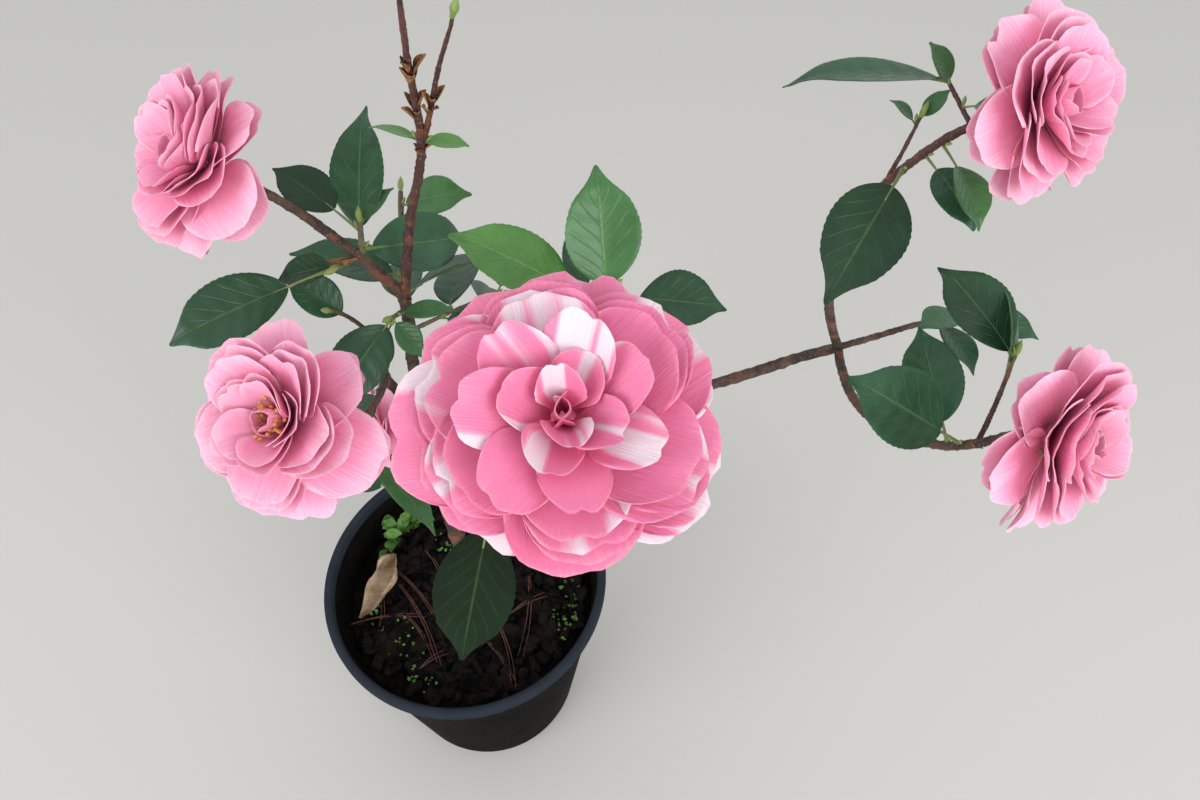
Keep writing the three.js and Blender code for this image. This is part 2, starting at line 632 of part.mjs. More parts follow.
const join = (solids) => solids.reduce((whole, solid) => whole.add(solid)).simplify(FUSE_TOLERANCE);
const cut = (solid, cutters) => cutters.reduce((left, cutter) => left.subtract(cutter), solid);

// The largest body of a solid, without the scraps that a cut can leave
function mainBody(solid) {
  const bodies = solid.decompose();
  return bodies.reduce((largest, body) => (body.volume() > largest.volume() ? body : largest));
}

function meshOf(name, solid, material) {
  const { vertProperties, triVerts } = solid.getMesh();
  const geometry = new THREE.BufferGeometry();
  geometry.setAttribute("position", new THREE.BufferAttribute(Float32Array.from(vertProperties), 3));
  geometry.setIndex(Array.from(triVerts));
  geometry.computeVertexNormals();
  const mesh = new THREE.Mesh(geometry, material);
  mesh.name = name;
  return mesh;
}

// A turned shape about the upright axis, from its profile of radius and height
function turned(profile) {
  const points = profile.map(([radius, height]) => new THREE.Vector2(radius, height));
  return solidOf(new THREE.LatheGeometry(points, POT_SIDES).rotateX(Math.PI / 2));
}

function wallRadius(height) {
  const neck = RIM_RADIUS - LIP_WIDTH;
  return BASE_RADIUS + ((neck - BASE_RADIUS) * height) / (POT_HEIGHT - LIP_DEPTH);
}

// The pot: a tapered wall under a rolled lip, with holes for the water in its floor
function potSolid() {
  const inner = (height) => wallRadius(height) - POT_WALL;
  const lipFoot = POT_HEIGHT - LIP_DEPTH;
  const shell = turned([
    [0, 0],
    [BASE_RADIUS - FOOT_BEVEL, 0],
    [wallRadius(FOOT_BEVEL), FOOT_BEVEL],
    [wallRadius(lipFoot), lipFoot],
    [RIM_RADIUS - LIP_SLOPE, lipFoot],
    [RIM_RADIUS, POT_HEIGHT - LIP_ROUND],
    [RIM_RADIUS - LIP_CREST, POT_HEIGHT],
    [inner(POT_HEIGHT) - LIP_SLOPE, POT_HEIGHT - LIP_ROUND],
    [inner(POT_WALL), POT_WALL],
    [0, POT_WALL],
  ]);
  const holes = Array.from({ length: DRAIN_HOLES }, (_, index) => {
    const turn = (2 * Math.PI * index) / DRAIN_HOLES;
    const hole = new THREE.CylinderGeometry(DRAIN_RADIUS, DRAIN_RADIUS, 4 * POT_WALL, HOLE_SIDES);
    hole.rotateX(Math.PI / 2);
    hole.translate(DRAIN_CIRCLE * Math.cos(turn), DRAIN_CIRCLE * Math.sin(turn), POT_WALL / 2);
    return solidOf(hole);
  });
  return cut(shell, holes);
}

// The potting mix that fills the pot to a little under its rim
function soilSolid() {
  const foot = POT_WALL + CLEAR;
  const gap = POT_WALL + 2 * CLEAR;
  return turned([
    [0, foot],
    [wallRadius(foot) - gap, foot],
    [wallRadius(SOIL_TOP) - gap, SOIL_TOP],
    [0, SOIL_TOP],
  ]);
}

// The limbs' lines, from the trunk outwards
const lines = {};
for (const [name, limb] of Object.entries({ ...LIMBS, ...TWIGS })) {
  lines[name] = growLine(limb, lines);
}

// What lies under the trunk's flat cut
function groundSolid() {
  const ground = new THREE.BoxGeometry(2 * RIM_RADIUS, 2 * RIM_RADIUS, SOIL_TOP);
  ground.translate(0, 0, SOIL_TOP / 2 + CLEAR);
  return solidOf(ground);
}

// The trunk and boughs, each cut clear of those before it
const boughs = {};
const cutters = [groundSolid()];
for (const [name, limb] of Object.entries(LIMBS)) {
  const bare = limb.bare ?? 1;
  const shape = name === "trunk" ? TRUNK_SHAPE : BOUGH_SHAPE;
  boughs[name] = mainBody(cut(limbSolid(lines[name], 0, bare, shape), cutters));
  cutters.push(limbSolid(lines[name], 0, bare, shape, CLEAR));
}

// The sprays: stems, twigs, leaves and blooms fused together and cut clear of the boughs
const sprays = {};
const intoSpray = (name, solid) => {
  sprays[name] = [...(sprays[name] ?? []), solid];
};
for (const [name, limb] of Object.entries(LIMBS)) {
  if (limb.spray) {
    intoSpray(limb.spray, limbSolid(lines[name], limb.bare, 1, STEM_SHAPE));
  }
}
for (const [name, twig] of Object.entries(TWIGS)) {
  intoSpray(twig.spray, limbSolid(lines[name], 0, 1, TWIG_SHAPE));
}
for (const leaf of allLeaves(lines)) {
  intoSpray(sprayOf(leaf.on), leafSolid(leaf, lines));
}
BLOOMS.forEach((bloom, index) => {
  for (const solid of bloomSolids(bloom, lines, index + 1)) {
    intoSpray(sprayOf(bloom.on), solid);
  }
});

const camellia = new THREE.Group();
camellia.add(meshOf("pot", potSolid(), POT_BLACK));
camellia.add(meshOf("potting_mix", soilSolid(), BARK_MIX));
for (const [name, solid] of Object.entries(boughs)) {
  camellia.add(meshOf(name, solid, name === "sprout" ? RED_TWIG : BROWN_BARK));
}
const bloomSprays = BLOOMS.map((bloom) => sprayOf(bloom.on));
for (const [name, solids] of Object.entries(sprays)) {
  const material = bloomSprays.includes(name) ? PETAL_PINK : LEAF_GREEN;
  camellia.add(meshOf(name, mainBody(cut(join(solids), cutters)), material));
}

export default camellia;
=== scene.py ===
"""A young double camellia in bloom in a round black nursery pot.

The plant grows by the same rule as its solids: limbs and twigs follow evenly turning lines, leaves hang
on them by stalks, and blooms open at their ends. Growth is worked out in millimetres and goes into the
meshes in metres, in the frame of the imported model.
"""

import json
import logging
import math
from dataclasses import dataclass
from enum import Enum

import bpy
import numpy as np
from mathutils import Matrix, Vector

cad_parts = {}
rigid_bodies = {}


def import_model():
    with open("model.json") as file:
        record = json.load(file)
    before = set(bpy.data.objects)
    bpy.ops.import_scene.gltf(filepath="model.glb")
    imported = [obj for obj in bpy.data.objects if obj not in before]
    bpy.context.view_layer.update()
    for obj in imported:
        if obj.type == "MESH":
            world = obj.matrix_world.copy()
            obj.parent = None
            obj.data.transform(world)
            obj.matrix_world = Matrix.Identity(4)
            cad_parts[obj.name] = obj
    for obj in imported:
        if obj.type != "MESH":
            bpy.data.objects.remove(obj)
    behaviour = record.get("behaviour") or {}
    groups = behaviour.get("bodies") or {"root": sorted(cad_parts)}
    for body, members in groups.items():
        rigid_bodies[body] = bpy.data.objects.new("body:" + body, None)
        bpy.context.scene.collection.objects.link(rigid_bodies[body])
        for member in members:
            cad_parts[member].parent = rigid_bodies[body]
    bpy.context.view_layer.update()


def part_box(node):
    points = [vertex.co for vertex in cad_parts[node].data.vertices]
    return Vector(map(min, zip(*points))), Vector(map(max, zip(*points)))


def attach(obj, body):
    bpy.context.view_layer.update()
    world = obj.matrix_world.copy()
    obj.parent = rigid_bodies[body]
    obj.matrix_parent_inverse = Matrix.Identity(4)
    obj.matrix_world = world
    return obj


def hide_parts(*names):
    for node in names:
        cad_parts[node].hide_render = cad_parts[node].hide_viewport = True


logging.basicConfig(level=logging.INFO, format="%(message)s")
LOG = logging.getLogger("camellia")

MM = 0.001
BODY = "root"
SEAT_GAP = 0.3

POT_HEIGHT = 275.0
RIM_RADIUS = 140.0
BASE_RADIUS = 100.0
LIP_WIDTH = 7.0
LIP_DEPTH = 13.0
POT_WALL = 3.0
DRAIN_HOLES = 6
DRAIN_RADIUS = 8.0
DRAIN_CIRCLE = 72.0
SOIL_TOP = 220.0
FOOT_SUNK = 2.0
TRUNK_HEIGHT = 320.0
ROOT_FLARE = 5.5
FLARE_HEIGHT = 14.0
LINE_STEPS = 24

Array = np.ndarray
Piece = bpy.types.Object
Material = bpy.types.Material


# The rule of growth


def share(number: float) -> float:
    """A share from 0 to 1 that is always the same for the same number."""
    wave = math.sin(number * 12.9898) * 43758.5453
    return wave - math.floor(wave)


def heading(azimuth: Array | float, rise: Array | float) -> Array:
    """The direction of an azimuth and a rise, both in degrees."""
    turn, lift = np.radians(azimuth), np.radians(rise)
    return np.stack([np.cos(turn) * np.cos(lift), np.sin(turn) * np.cos(lift), np.sin(lift)], -1)


def unit(vectors: Array) -> Array:
    """The vectors at length one."""
    return vectors / np.maximum(np.linalg.norm(vectors, axis=-1, keepdims=True), 1e-9)


def smooth(low: float, high: float, value: Array) -> Array:
    """A smooth step from 0 at low to 1 at high."""
    t = np.clip((value - low) / (high - low), 0.0, 1.0)
    return t * t * (3.0 - 2.0 * t)


def ripple(points: Array, size: float, seed: float) -> Array:
    """An uneven field from about -1 to 1: five crossing sine waves, each finer and fainter than the last.

    Args:
        points: positions in millimetres, in the last axis.
        size: length of the longest wave in millimetres.
        seed: number that sets the waves' directions and phases.

    Returns:
        The field at each point.
    """
    total = np.zeros(points.shape[:-1])
    for wave in range(5):
        direction = heading(360 * share(seed + wave), 70 * (2 * share(seed + wave + 0.5) - 1))
        pitch = 2 * math.pi / size * 1.7**wave
        total += np.sin(points @ direction * pitch + 7 * share(seed + wave + 0.25)) * 0.72**wave
    return total / 2.4


def square_to(direction: Array) -> tuple[Array, Array]:
    """Two directions square to a heading.

    Args:
        direction: a heading of length one.

    Returns:
        One direction that is level, and one that leans up.
    """
    side = unit(np.cross(direction, (0.0, 0.0, 1.0)))
    return side, unit(np.cross(side, direction))


def angles(direction: Array) -> tuple[float, float]:
    """The azimuth and the rise of a heading, both in degrees."""
    azimuth = math.degrees(math.atan2(direction[1], direction[0]))
    return azimuth, math.degrees(math.asin(np.clip(direction[2], -1.0, 1.0)))


def lean_off(direction: Array, spin: float, lean: float) -> tuple[Array, Array]:
    """Leans off a heading.

    Args:
        direction: the heading.
        spin: which way round the heading to lean, in radians.
        lean: how far to lean, in radians.

    Returns:
        The direction square to the heading that it leans towards, and the leaning direction itself.
    """
    side, normal = square_to(direction)
    away = side * math.cos(spin) + normal * math.sin(spin)
    return away, direction * math.cos(lean) + away * math.sin(lean)


def fan_out(axis: Array, spin: Array, tilt: Array) -> tuple[Array, Array, Array]:
    """Directions that fan out round an axis.

    Args:
        axis: the heading that they fan out round.
        spin: where each stands round the axis, in radians.
        tilt: the angle of each from the axis, in radians.

    Returns:
        For each, the direction square to the axis, the tilted one, and the one square to that which points
        back to the axis.
    """
    level, lean = square_to(axis)
    outward = level * np.cos(spin)[:, None] + lean * np.sin(spin)[:, None]
    along = outward * np.sin(tilt)[:, None] + axis * np.cos(tilt)[:, None]
    return outward, along, -outward * np.cos(tilt)[:, None] + axis * np.sin(tilt)[:, None]


@dataclass(frozen=True)
class Limb:
    """A bough or twig that leaves its parent at a share of the parent's length.

    Its heading changes evenly along it by turn and lift. The bare share of it is the bough, and the rest
    is the stem of its spray.
    """

    parent: str
    at: float
    azimuth: float
    rise: float
    length: float
    radii: tuple[float, float]
    turn: float = 0.0
    lift: float = 0.0
    bare: float = 1.0
    spray: str = ""


BOUGHS = {
    "trunk": Limb("", 0, 70, 88, TRUNK_HEIGHT + FOOT_SUNK, (7.6, 5.6), lift=4),
    "centre_bough": Limb("trunk", 1, 60, 83, 117, (4.4, 3.9)),
    "left_bough": Limb("centre_bough", 1, 174, 61, 132, (3.7, 2.3), 23, -14, 0.62, "upper_left_spray"),
    "sprout": Limb("centre_bough", 1, 44, 77, 124, (3.2, 2.4), -88, -6, 0.97, "sprout_twigs"),
    "side_bough": Limb("trunk", 1, 200, 71, 53, (3.6, 3.0), -43, 0, 0.9, "left_spray"),
    "front_bough": Limb("trunk", 1, -58, 24, 360, (4.6, 2.6), -1, 50, 0.43, "front_spray"),
    "middle_bough": Limb("front_bough", 0.1, -20, 55, 222, (3.6, 2.0), 10, 0, 0.55, "middle_spray"),
    "back_bough": Limb("trunk", 0.875, 103, 73, 200, (3.8, 1.8), -17, -27, 0.4, "back_spray"),
    "right_bough": Limb("trunk", 0.58, 25, 18, 360, (5.4, 4.0), -26, 7),
    "right_upper_bough": Limb(
        "right_bough", 1, 17, 118, 274, (3.6, 2.4), -73, -78, 0.56, "right_upper_spray"
    ),
    "right_lower_bough": Limb("right_bough", 1, -100, 11, 270, (3.6, 2.4), 42, 56, 0.62, "right_lower_spray"),
    "right_mid_bough": Limb("right_bough", 1, -5, 35, 113, (2.8, 1.6), -37, 16, 0.5, "right_mid_spray"),
}

TWIGS = {
    "left_spur": Limb("left_bough", 0.3, 60, 76, 26, (2.0, 1.6), spray="left_node_spray"),
    "side_spur": Limb("left_bough", 0.32, -125, 12, 18, (1.7, 1.3), spray="left_side_spray"),
    "centre_spur": Limb("centre_bough", 0.92, -110, 28, 20, (1.7, 1.3), spray="centre_spray"),
    "left_stem": Limb("side_bough", 1, -89, 14, 163, (2.6, 2.2), -7, 57, spray="left_spray"),
    "left_shoot": Limb("side_bough", 0.97, 75, 76, 74, (1.9, 1.3), 168, -27, spray="left_spray"),
    "low_stem": Limb("trunk", 0.93, -156, 38, 35, (2.2, 1.7), 22, 13, spray="low_spray"),
    "low_shoot": Limb("low_stem", 0.5, -108, 32, 58, (1.5, 1.1), spray="low_spray"),
    "sprout_left": Limb("sprout", 1, -70, 70, 112, (2.4, 1.2), 0, 10, spray="sprout_twigs"),
    "sprout_right": Limb("sprout", 0.985, -42, 64, 100, (1.8, 0.9), spray="sprout_twigs"),
    "back_shoot": Limb("back_bough", 0.5, 35, 4, 78, (1.7, 1.1), 0, -18, spray="back_spray"),
    "right_upper_shoot": Limb("right_upper_bough", 0.63, 38, 69, 48, (1.6, 1.1), spray="right_upper_spray"),
    "right_end_shoot": Limb("right_upper_bough", 0.9, 128, 35, 32, (1.5, 1.1), spray="right_upper_spray"),
    "right_lower_shoot": Limb("right_lower_bough", 0.85, 61, 27, 55, (1.6, 1.2), spray="right_lower_spray"),
    "inner_right_stem": Limb(
        "right_bough", 0.3, 78, 52, 105, (2.4, 1.4), -30, -30, spray="inner_right_spray"
    ),
    "outer_right_stem": Limb(
        "right_bough", 0.36, -75, 34, 60, (2.2, 1.4), 30, -20, spray="outer_right_spray"
    ),
    "inner_back_stem": Limb("trunk", 0.74, 48, 40, 120, (2.6, 1.5), 0, -25, spray="inner_back_spray"),
    "inner_left_stem": Limb("trunk", 0.66, 160, 44, 125, (2.6, 1.5), 0, -30, spray="inner_left_spray"),
    "low_front_stem": Limb("trunk", 0.78, -40, 30, 110, (2.4, 1.4), 20, -20, spray="low_front_spray"),
    "low_back_stem": Limb("trunk", 0.5, 105, 45, 115, (2.5, 1.5), 0, -30, spray="low_back_spray"),
}


class Line:
    """A limb's own line: its points, and its headings and radii at any share of its length."""

    def __init__(self, limb: Limb, start: Array, flare: float = 0.0) -> None:
        """Grows the line from its start.

        Args:
            limb: the limb whose line it is.
            start: the point that it leaves its parent at, in millimetres.
            flare: how much wider its foot is than its taper says, in millimetres.
        """
        self.limb, self.flare = limb, flare
        along = (np.arange(LINE_STEPS) + 0.5) / LINE_STEPS
        strides = heading(limb.azimuth + limb.turn * along, limb.rise + limb.lift * along)
        self.points = start + np.vstack([np.zeros(3), np.cumsum(strides * limb.length / LINE_STEPS, 0)])

    def point(self, at: Array | float) -> Array:
        """The point at a share of the line's length."""
        marks = np.linspace(0.0, 1.0, LINE_STEPS + 1)
        return np.stack([np.interp(at, marks, self.points[:, axis]) for axis in range(3)], -1)

    def heading(self, at: Array | float) -> Array:
        """The heading at a share of the line's length."""
        return heading(self.limb.azimuth + self.limb.turn * at, self.limb.rise + self.limb.lift * at)

    def radius(self, at: Array | float) -> Array:
        """The radius at a share of the line's length, with the flare of a trunk's foot."""
        first, last = self.limb.radii
        return first + (last - first) * at + self.flare * np.exp(-at * self.limb.length / FLARE_HEIGHT)


def grow_lines() -> dict[str, Line]:
    """The lines of the trunk, the boughs and the twigs, from the trunk outwards.

    Returns:
        Each limb's line by its name.
    """
    lines: dict[str, Line] = {}
    for name, limb in {**BOUGHS, **TWIGS}.items():
        if limb.parent:
            lines[name] = Line(limb, lines[limb.parent].point(limb.at))
        else:
            lines[name] = Line(limb, np.array([0.0, 0.0, SOIL_TOP - FOOT_SUNK]), ROOT_FLARE)
    return lines


class Tone(Enum):
    """How light a leaf's green is, as a share from the darkest to the freshest. SHADED, the darkest, is
    painted shade for a leaf that hangs in shade.
    """

    SHADED = 0.0
    DARK = 0.2
    GREEN = 0.4
    BLUISH = 0.55
    FRESH = 0.75
    PALE = 1.0


@dataclass(frozen=True)
class Leaf:
    """A leaf on a limb: where it hangs, how it points, and its stalk and blade in millimetres."""

    on: str
    at: float
    azimuth: float
    rise: float
    stalk: float
    length: float
    width: float
    roll: float
    tone: Tone = Tone.GREEN

    def frame(self, lines: dict[str, Line]) -> tuple[Array, Array, Array, Array]:
        """The leaf's root and its three directions, rolled round its own length.

        Args:
            lines: the limbs' lines.

        Returns:
            The root, and the directions along the leaf, across it and out of its face.
        """
        along = heading(self.azimuth, self.rise)
        level, lean = square_to(along)
        cosine, sine = math.cos(math.radians(self.roll)), math.sin(math.radians(self.roll))
        side, normal = level * cosine - lean * sine, lean * cosine + level * sine
        return lines[self.on].point(self.at), along, side, normal

    def places(self, lines: dict[str, Line]) -> Array:
        """Six places on the leaf that stand for all of it when its clearance is tested.

        Args:
            lines: the limbs' lines.

        Returns:
            The places by three.
        """
        root, along, side, _ = self.frame(lines)
        reach = self.stalk + self.length * np.array([0.12, 0.45, 0.45, 0.45, 0.75, 1.0])
        aside = 0.4 * self.length * self.width * np.array([0.0, 0.0, 1.0, -1.0, 0.0, 0.0])
        return root + reach[:, None] * along + aside[:, None] * side


LEAVES = (
    Leaf("left_spur", 0.5, 87, 52, 8, 71, 0.52, -18, Tone.BLUISH),
    Leaf("left_spur", 0.75, 153, 34, 19, 45, 0.66, -8, Tone.DARK),
    Leaf("left_spur", 0.25, 44, -26, 8, 92, 0.42, 55, Tone.BLUISH),
    Leaf("left_spur", 0.9, 30, 44, 5, 26, 0.5, 0, Tone.FRESH),
    Leaf("side_spur", 0.75, -167, 2, 7, 34, 0.66, -12, Tone.DARK),
    Leaf("side_spur", 0.95, -153, -3, 31, 78, 0.54, -22, Tone.DARK),
    Leaf("centre_spur", 0.8, -130, -26, 8, 62, 0.58, -30, Tone.DARK),
    Leaf("centre_spur", 0.65, -142, -50, 12, 34, 0.7, -28, Tone.BLUISH),
    Leaf("centre_spur", 0.95, -34, -46, 5, 28, 0.66, 0, Tone.FRESH),
    Leaf("centre_spur", 0.6, 1, 12, 5, 33, 0.45, 8, Tone.FRESH),
    Leaf("left_shoot", 0.78, 174, 50, 5, 42, 0.64, -24, Tone.GREEN),
    Leaf("left_stem", 0.12, -146, -36, 5, 28, 0.76, -10, Tone.DARK),
    Leaf("low_shoot", 0.55, -28, 20, 6, 48, 0.6, 0, Tone.GREEN),
    Leaf("low_shoot", 0.95, -40, -9, 4, 66, 0.36, -30, Tone.FRESH),
    Leaf("sprout_left", 0.03, 165, 20, 3, 26, 0.45, 20, Tone.PALE),
    Leaf("sprout_right", 0.05, 10, -5, 3, 22, 0.6, 0, Tone.PALE),
    Leaf("back_bough", 0.95, -8, 26, 5, 48, 0.62, 22, Tone.FRESH),
    Leaf("middle_bough", 0.93, 170, 34, 18, 66, 0.56, -15, Tone.PALE),
    Leaf("middle_bough", 0.98, 98, 62, 5, 60, 0.66, 0, Tone.FRESH),
    Leaf("middle_bough", 0.86, 92, 66, 14, 50, 0.56, -58, Tone.GREEN),
    Leaf("middle_bough", 0.96, -9, 8, 20, 46, 0.74, 8, Tone.DARK),
    # painted shade: this leaf hangs in shade below the large bloom, so it takes the darkest green
    Leaf("front_bough", 0.5, -102, -27, 26, 78, 0.58, -10, Tone.SHADED),
    Leaf("front_bough", 0.58, 30, -14, 8, 56, 0.56, 10, Tone.DARK),
    Leaf("front_bough", 0.66, 152, -6, 8, 48, 0.56, -14, Tone.DARK),
    Leaf("front_bough", 0.76, 82, -8, 8, 52, 0.54, 6, Tone.GREEN),
    Leaf("right_upper_bough", 0.71, -122, -11, 17, 86, 0.58, -10, Tone.DARK),
    Leaf("right_upper_bough", 0.77, -64, -11, 14, 43, 0.68, 8, Tone.GREEN),
    Leaf("right_upper_bough", 0.82, -66, -14, 18, 40, 0.66, -12, Tone.FRESH),
    Leaf("right_upper_shoot", 0.95, 25, 50, 4, 20, 0.62, 0, Tone.FRESH),
    Leaf("right_upper_shoot", 0.9, 150, 40, 4, 18, 0.6, 0, Tone.FRESH),
    Leaf("right_end_shoot", 0.95, -177, 10, 5, 88, 0.34, 8, Tone.GREEN),
    Leaf("right_end_shoot", 0.8, 150, 58, 4, 24, 0.6, -20, Tone.FRESH),
    Leaf("right_end_shoot", 0.4, -42, 34, 8, 26, 0.7, 10, Tone.FRESH),
    Leaf("right_lower_bough", 0.75, 101, 29, 14, 62, 0.56, -24, Tone.BLUISH),
    Leaf("right_lower_bough", 0.8, 162, 28, 16, 62, 0.74, -28, Tone.BLUISH),
    Leaf("right_lower_shoot", 0.97, 126, 28, 5, 62, 0.62, -6, Tone.DARK),
    Leaf("right_lower_shoot", 0.8, 77, 36, 6, 44, 0.5, 58, Tone.FRESH),
    Leaf("right_mid_bough", 0.9, -150, 20, 6, 40, 0.6, 0, Tone.BLUISH),
    Leaf("right_mid_bough", 0.72, -70, 8, 6, 46, 0.56, -10, Tone.DARK),
    Leaf("right_mid_bough", 0.96, -28, 4, 6, 44, 0.56, 12, Tone.GREEN),
)


@dataclass(frozen=True)
class LeafRun:
    """Leaves that grow by rule along a limb, from one share of its length to another.

    Twigs is how many finer side twigs grow among them. Size is their share of a full leaf, and spacing how
    far they keep from everything else in millimetres.
    """

    on: str
    count: int
    first: float
    last: float
    twigs: int = 0
    size: float = 1.0
    spacing: float = 13.0


LEAF_RUNS = (
    LeafRun("back_bough", 5, 0.46, 0.72),
    LeafRun("back_shoot", 7, 0.25, 1),
    LeafRun("middle_bough", 5, 0.6, 0.86),
    LeafRun("inner_right_stem", 9, 0.25, 1, 6),
    LeafRun("outer_right_stem", 6, 0.3, 1, 6),
    LeafRun("inner_back_stem", 9, 0.25, 1, 6),
    LeafRun("inner_left_stem", 9, 0.25, 1, 6),
    LeafRun("low_front_stem", 7, 0.3, 1, 6),
    LeafRun("low_back_stem", 8, 0.3, 1, 6),
    LeafRun("left_bough", 2, 0.8, 0.9),
)
GOLDEN_ANGLE = 137.5
RULED_LENGTH = 62.0
RULED_WIDTH = 0.52
RULED_STALK = 8.0
RULED_LEAN = 58.0
BLOOM_SPACING = 4.0
FINE_LENGTH = 46.0
FINE_RADII = (1.1, 0.7)
FINE_LEAN = 42.0
FINE_LIFT = -15.0
FINE_SEEDS = 1000
FINE_LAST = 0.97
FINE_CLEARANCE = 6.0
FINE_RUN = 5
FINE_SIZE = 0.62
FINE_SPACING = 7.0
REACH_MARGIN = 3.0
RULED_TONES = (Tone.GREEN, Tone.DARK, Tone.GREEN, Tone.FRESH)


@dataclass(frozen=True)
class Whorl:
    """One ring of a bloom's petals.

    The tilt is the petals' angle from the bloom's axis, out and sink are where they start, and bend curls
    them towards the axis. Where a petal has layers, the further ones lie beneath it, each more tilted than
    the last and longer by a share. Curl rolls the free end in, and white is how much the markings take.
    """

    petals: int
    length: float
    width: float
    tilt: float
    bend: float
    cup: float
    out: float
    sink: float
    spin: float
    layers: int
    longer: float
    curl: float
    white: float


FULL_WHORLS = (
    Whorl(7, 57, 52, 92, -14, 0.14, 6, 6, 0, 2, -0.03, -0.04, 0.7),
    Whorl(6, 44, 43, 71, 2, 0.17, 6, 2, 24, 4, 0.07, 0.0, -0.22),
    Whorl(7, 38, 28, 57, 4, 0.16, 5, -5, 54, 1, 0.0, -0.05, 0.15),
    Whorl(4, 27, 22, 46, 8, 0.4, 4, -5, 20, 1, 0.0, -0.04, 0.1),
    Whorl(2, 23, 17, 34, 10, 0.5, 2, -6, 70, 1, 0.0, -0.03, 0.0),
    Whorl(2, 17, 12, 5, 16, 0.9, 2.5, -4, 150, 1, 0.0, 0.0, -0.5),
)
OPEN_WHORLS = (
    Whorl(6, 52, 46, 82, -12, 0.16, 5, 4, 0, 2, -0.04, -0.05, 1.0),
    Whorl(5, 41, 37, 58, 4, 0.26, 5, 0, 28, 3, 0.06, -0.02, 0.5),
    Whorl(5, 33, 26, 40, 12, 0.4, 4, -2, 8, 2, 0.06, -0.03, 0.5),
    Whorl(3, 19, 17, 26, 26, 0.5, 3, -4, 50, 1, 0.0, 0.12, 0.2),
)
SMALL_WHORLS = (
    Whorl(5, 33, 30, 80, -8, 0.2, 3, 2, 0, 2, -0.04, -0.04, 0.6),
    Whorl(3, 25, 22, 46, 16, 0.3, 3, 0, 30, 2, 0.06, 0.02, 0.4),
)


class Marking(Enum):
    """How a bloom's petals are marked: streaked with white, or an even pink."""

    STREAKED = 1.0
    EVEN = 0.0


@dataclass(frozen=True)
class Bloom:
    """A bloom at the end of its limb, with its axis, its whorls and its round core in millimetres.

    Short names the petals of its outermost whorl that stay smaller than the rest, and ruffle is how uneven
    the free edges are.
    """

    on: str
    azimuth: float
    rise: float
    whorls: tuple[Whorl, ...]
    core: float
    spread: float
    marking: Marking = Marking.EVEN
    stamens: int = 0
    short: tuple[int, ...] = ()
    ruffle: float = 1.7

    def centre(self, lines: dict[str, Line]) -> Array:
        """The middle of the core, which its cup holds off the limb's tip."""
        return lines[self.on].point(1.0) + self.axis() * (self.core + CUP_DEPTH - CUP_FOOT)

    def axis(self) -> Array:
        """The direction that the bloom faces."""
        return heading(self.azimuth, self.rise)


CUP_FOOT = 2.4
CUP_DEPTH = 6.0
PETAL_UNEVEN = 0.16
BLOOMS = (
    Bloom("front_bough", -81, 66, FULL_WHORLS, 12, 58, Marking.STREAKED, short=(6,), ruffle=0.9),
    Bloom("left_bough", 215, 50, OPEN_WHORLS, 11, 52),
    Bloom("left_stem", -117, 53, OPEN_WHORLS, 11, 50, stamens=34),
    Bloom("right_upper_bough", -50, 42, OPEN_WHORLS, 11, 52),
    Bloom("right_lower_bough", -46, 32, OPEN_WHORLS, 11, 52, stamens=30),
    Bloom("low_stem", 220, 48, SMALL_WHORLS, 8, 34),
)


def ruled_leaves(run: LeafRun, line: Line, seed: int) -> list[Leaf]:
    """The leaves of one run, each turned on from the last by the golden angle and leaning off the limb.

    Args:
        run: the run.
        line: the line of the limb that it grows on.
        seed: the run's own number.

    Returns:
        Its leaves, whether or not they find room.
    """
    leaves = []
    for index in range(run.count):
        number = seed * 50 + index
        at = run.first + (run.last - run.first) * (index + 0.5) / run.count
        spin = math.radians(GOLDEN_ANGLE * index + 360 * share(seed) + 40 * (share(number) - 0.5))
        lean = math.radians(RULED_LEAN + 24 * (share(number + 0.5) - 0.5))
        azimuth, rise = angles(lean_off(line.heading(at), spin, lean)[1])
        leaves.append(
            Leaf(
                on=run.on,
                at=at,
                azimuth=azimuth,
                rise=rise,
                stalk=RULED_STALK * run.size,
                length=RULED_LENGTH * run.size * (0.72 + 0.5 * share(number + 0.25)),
                width=RULED_WIDTH + 0.1 * share(number + 0.75),
                roll=50 * (share(number + 0.1) - 0.5),
                tone=RULED_TONES[number % len(RULED_TONES)],
            )
        )
    return leaves


def nearest(first: Array, second: Array) -> float:
    """The shortest distance between two sets of points."""
    return float(np.linalg.norm(first[:, None] - second[None], axis=-1).min())


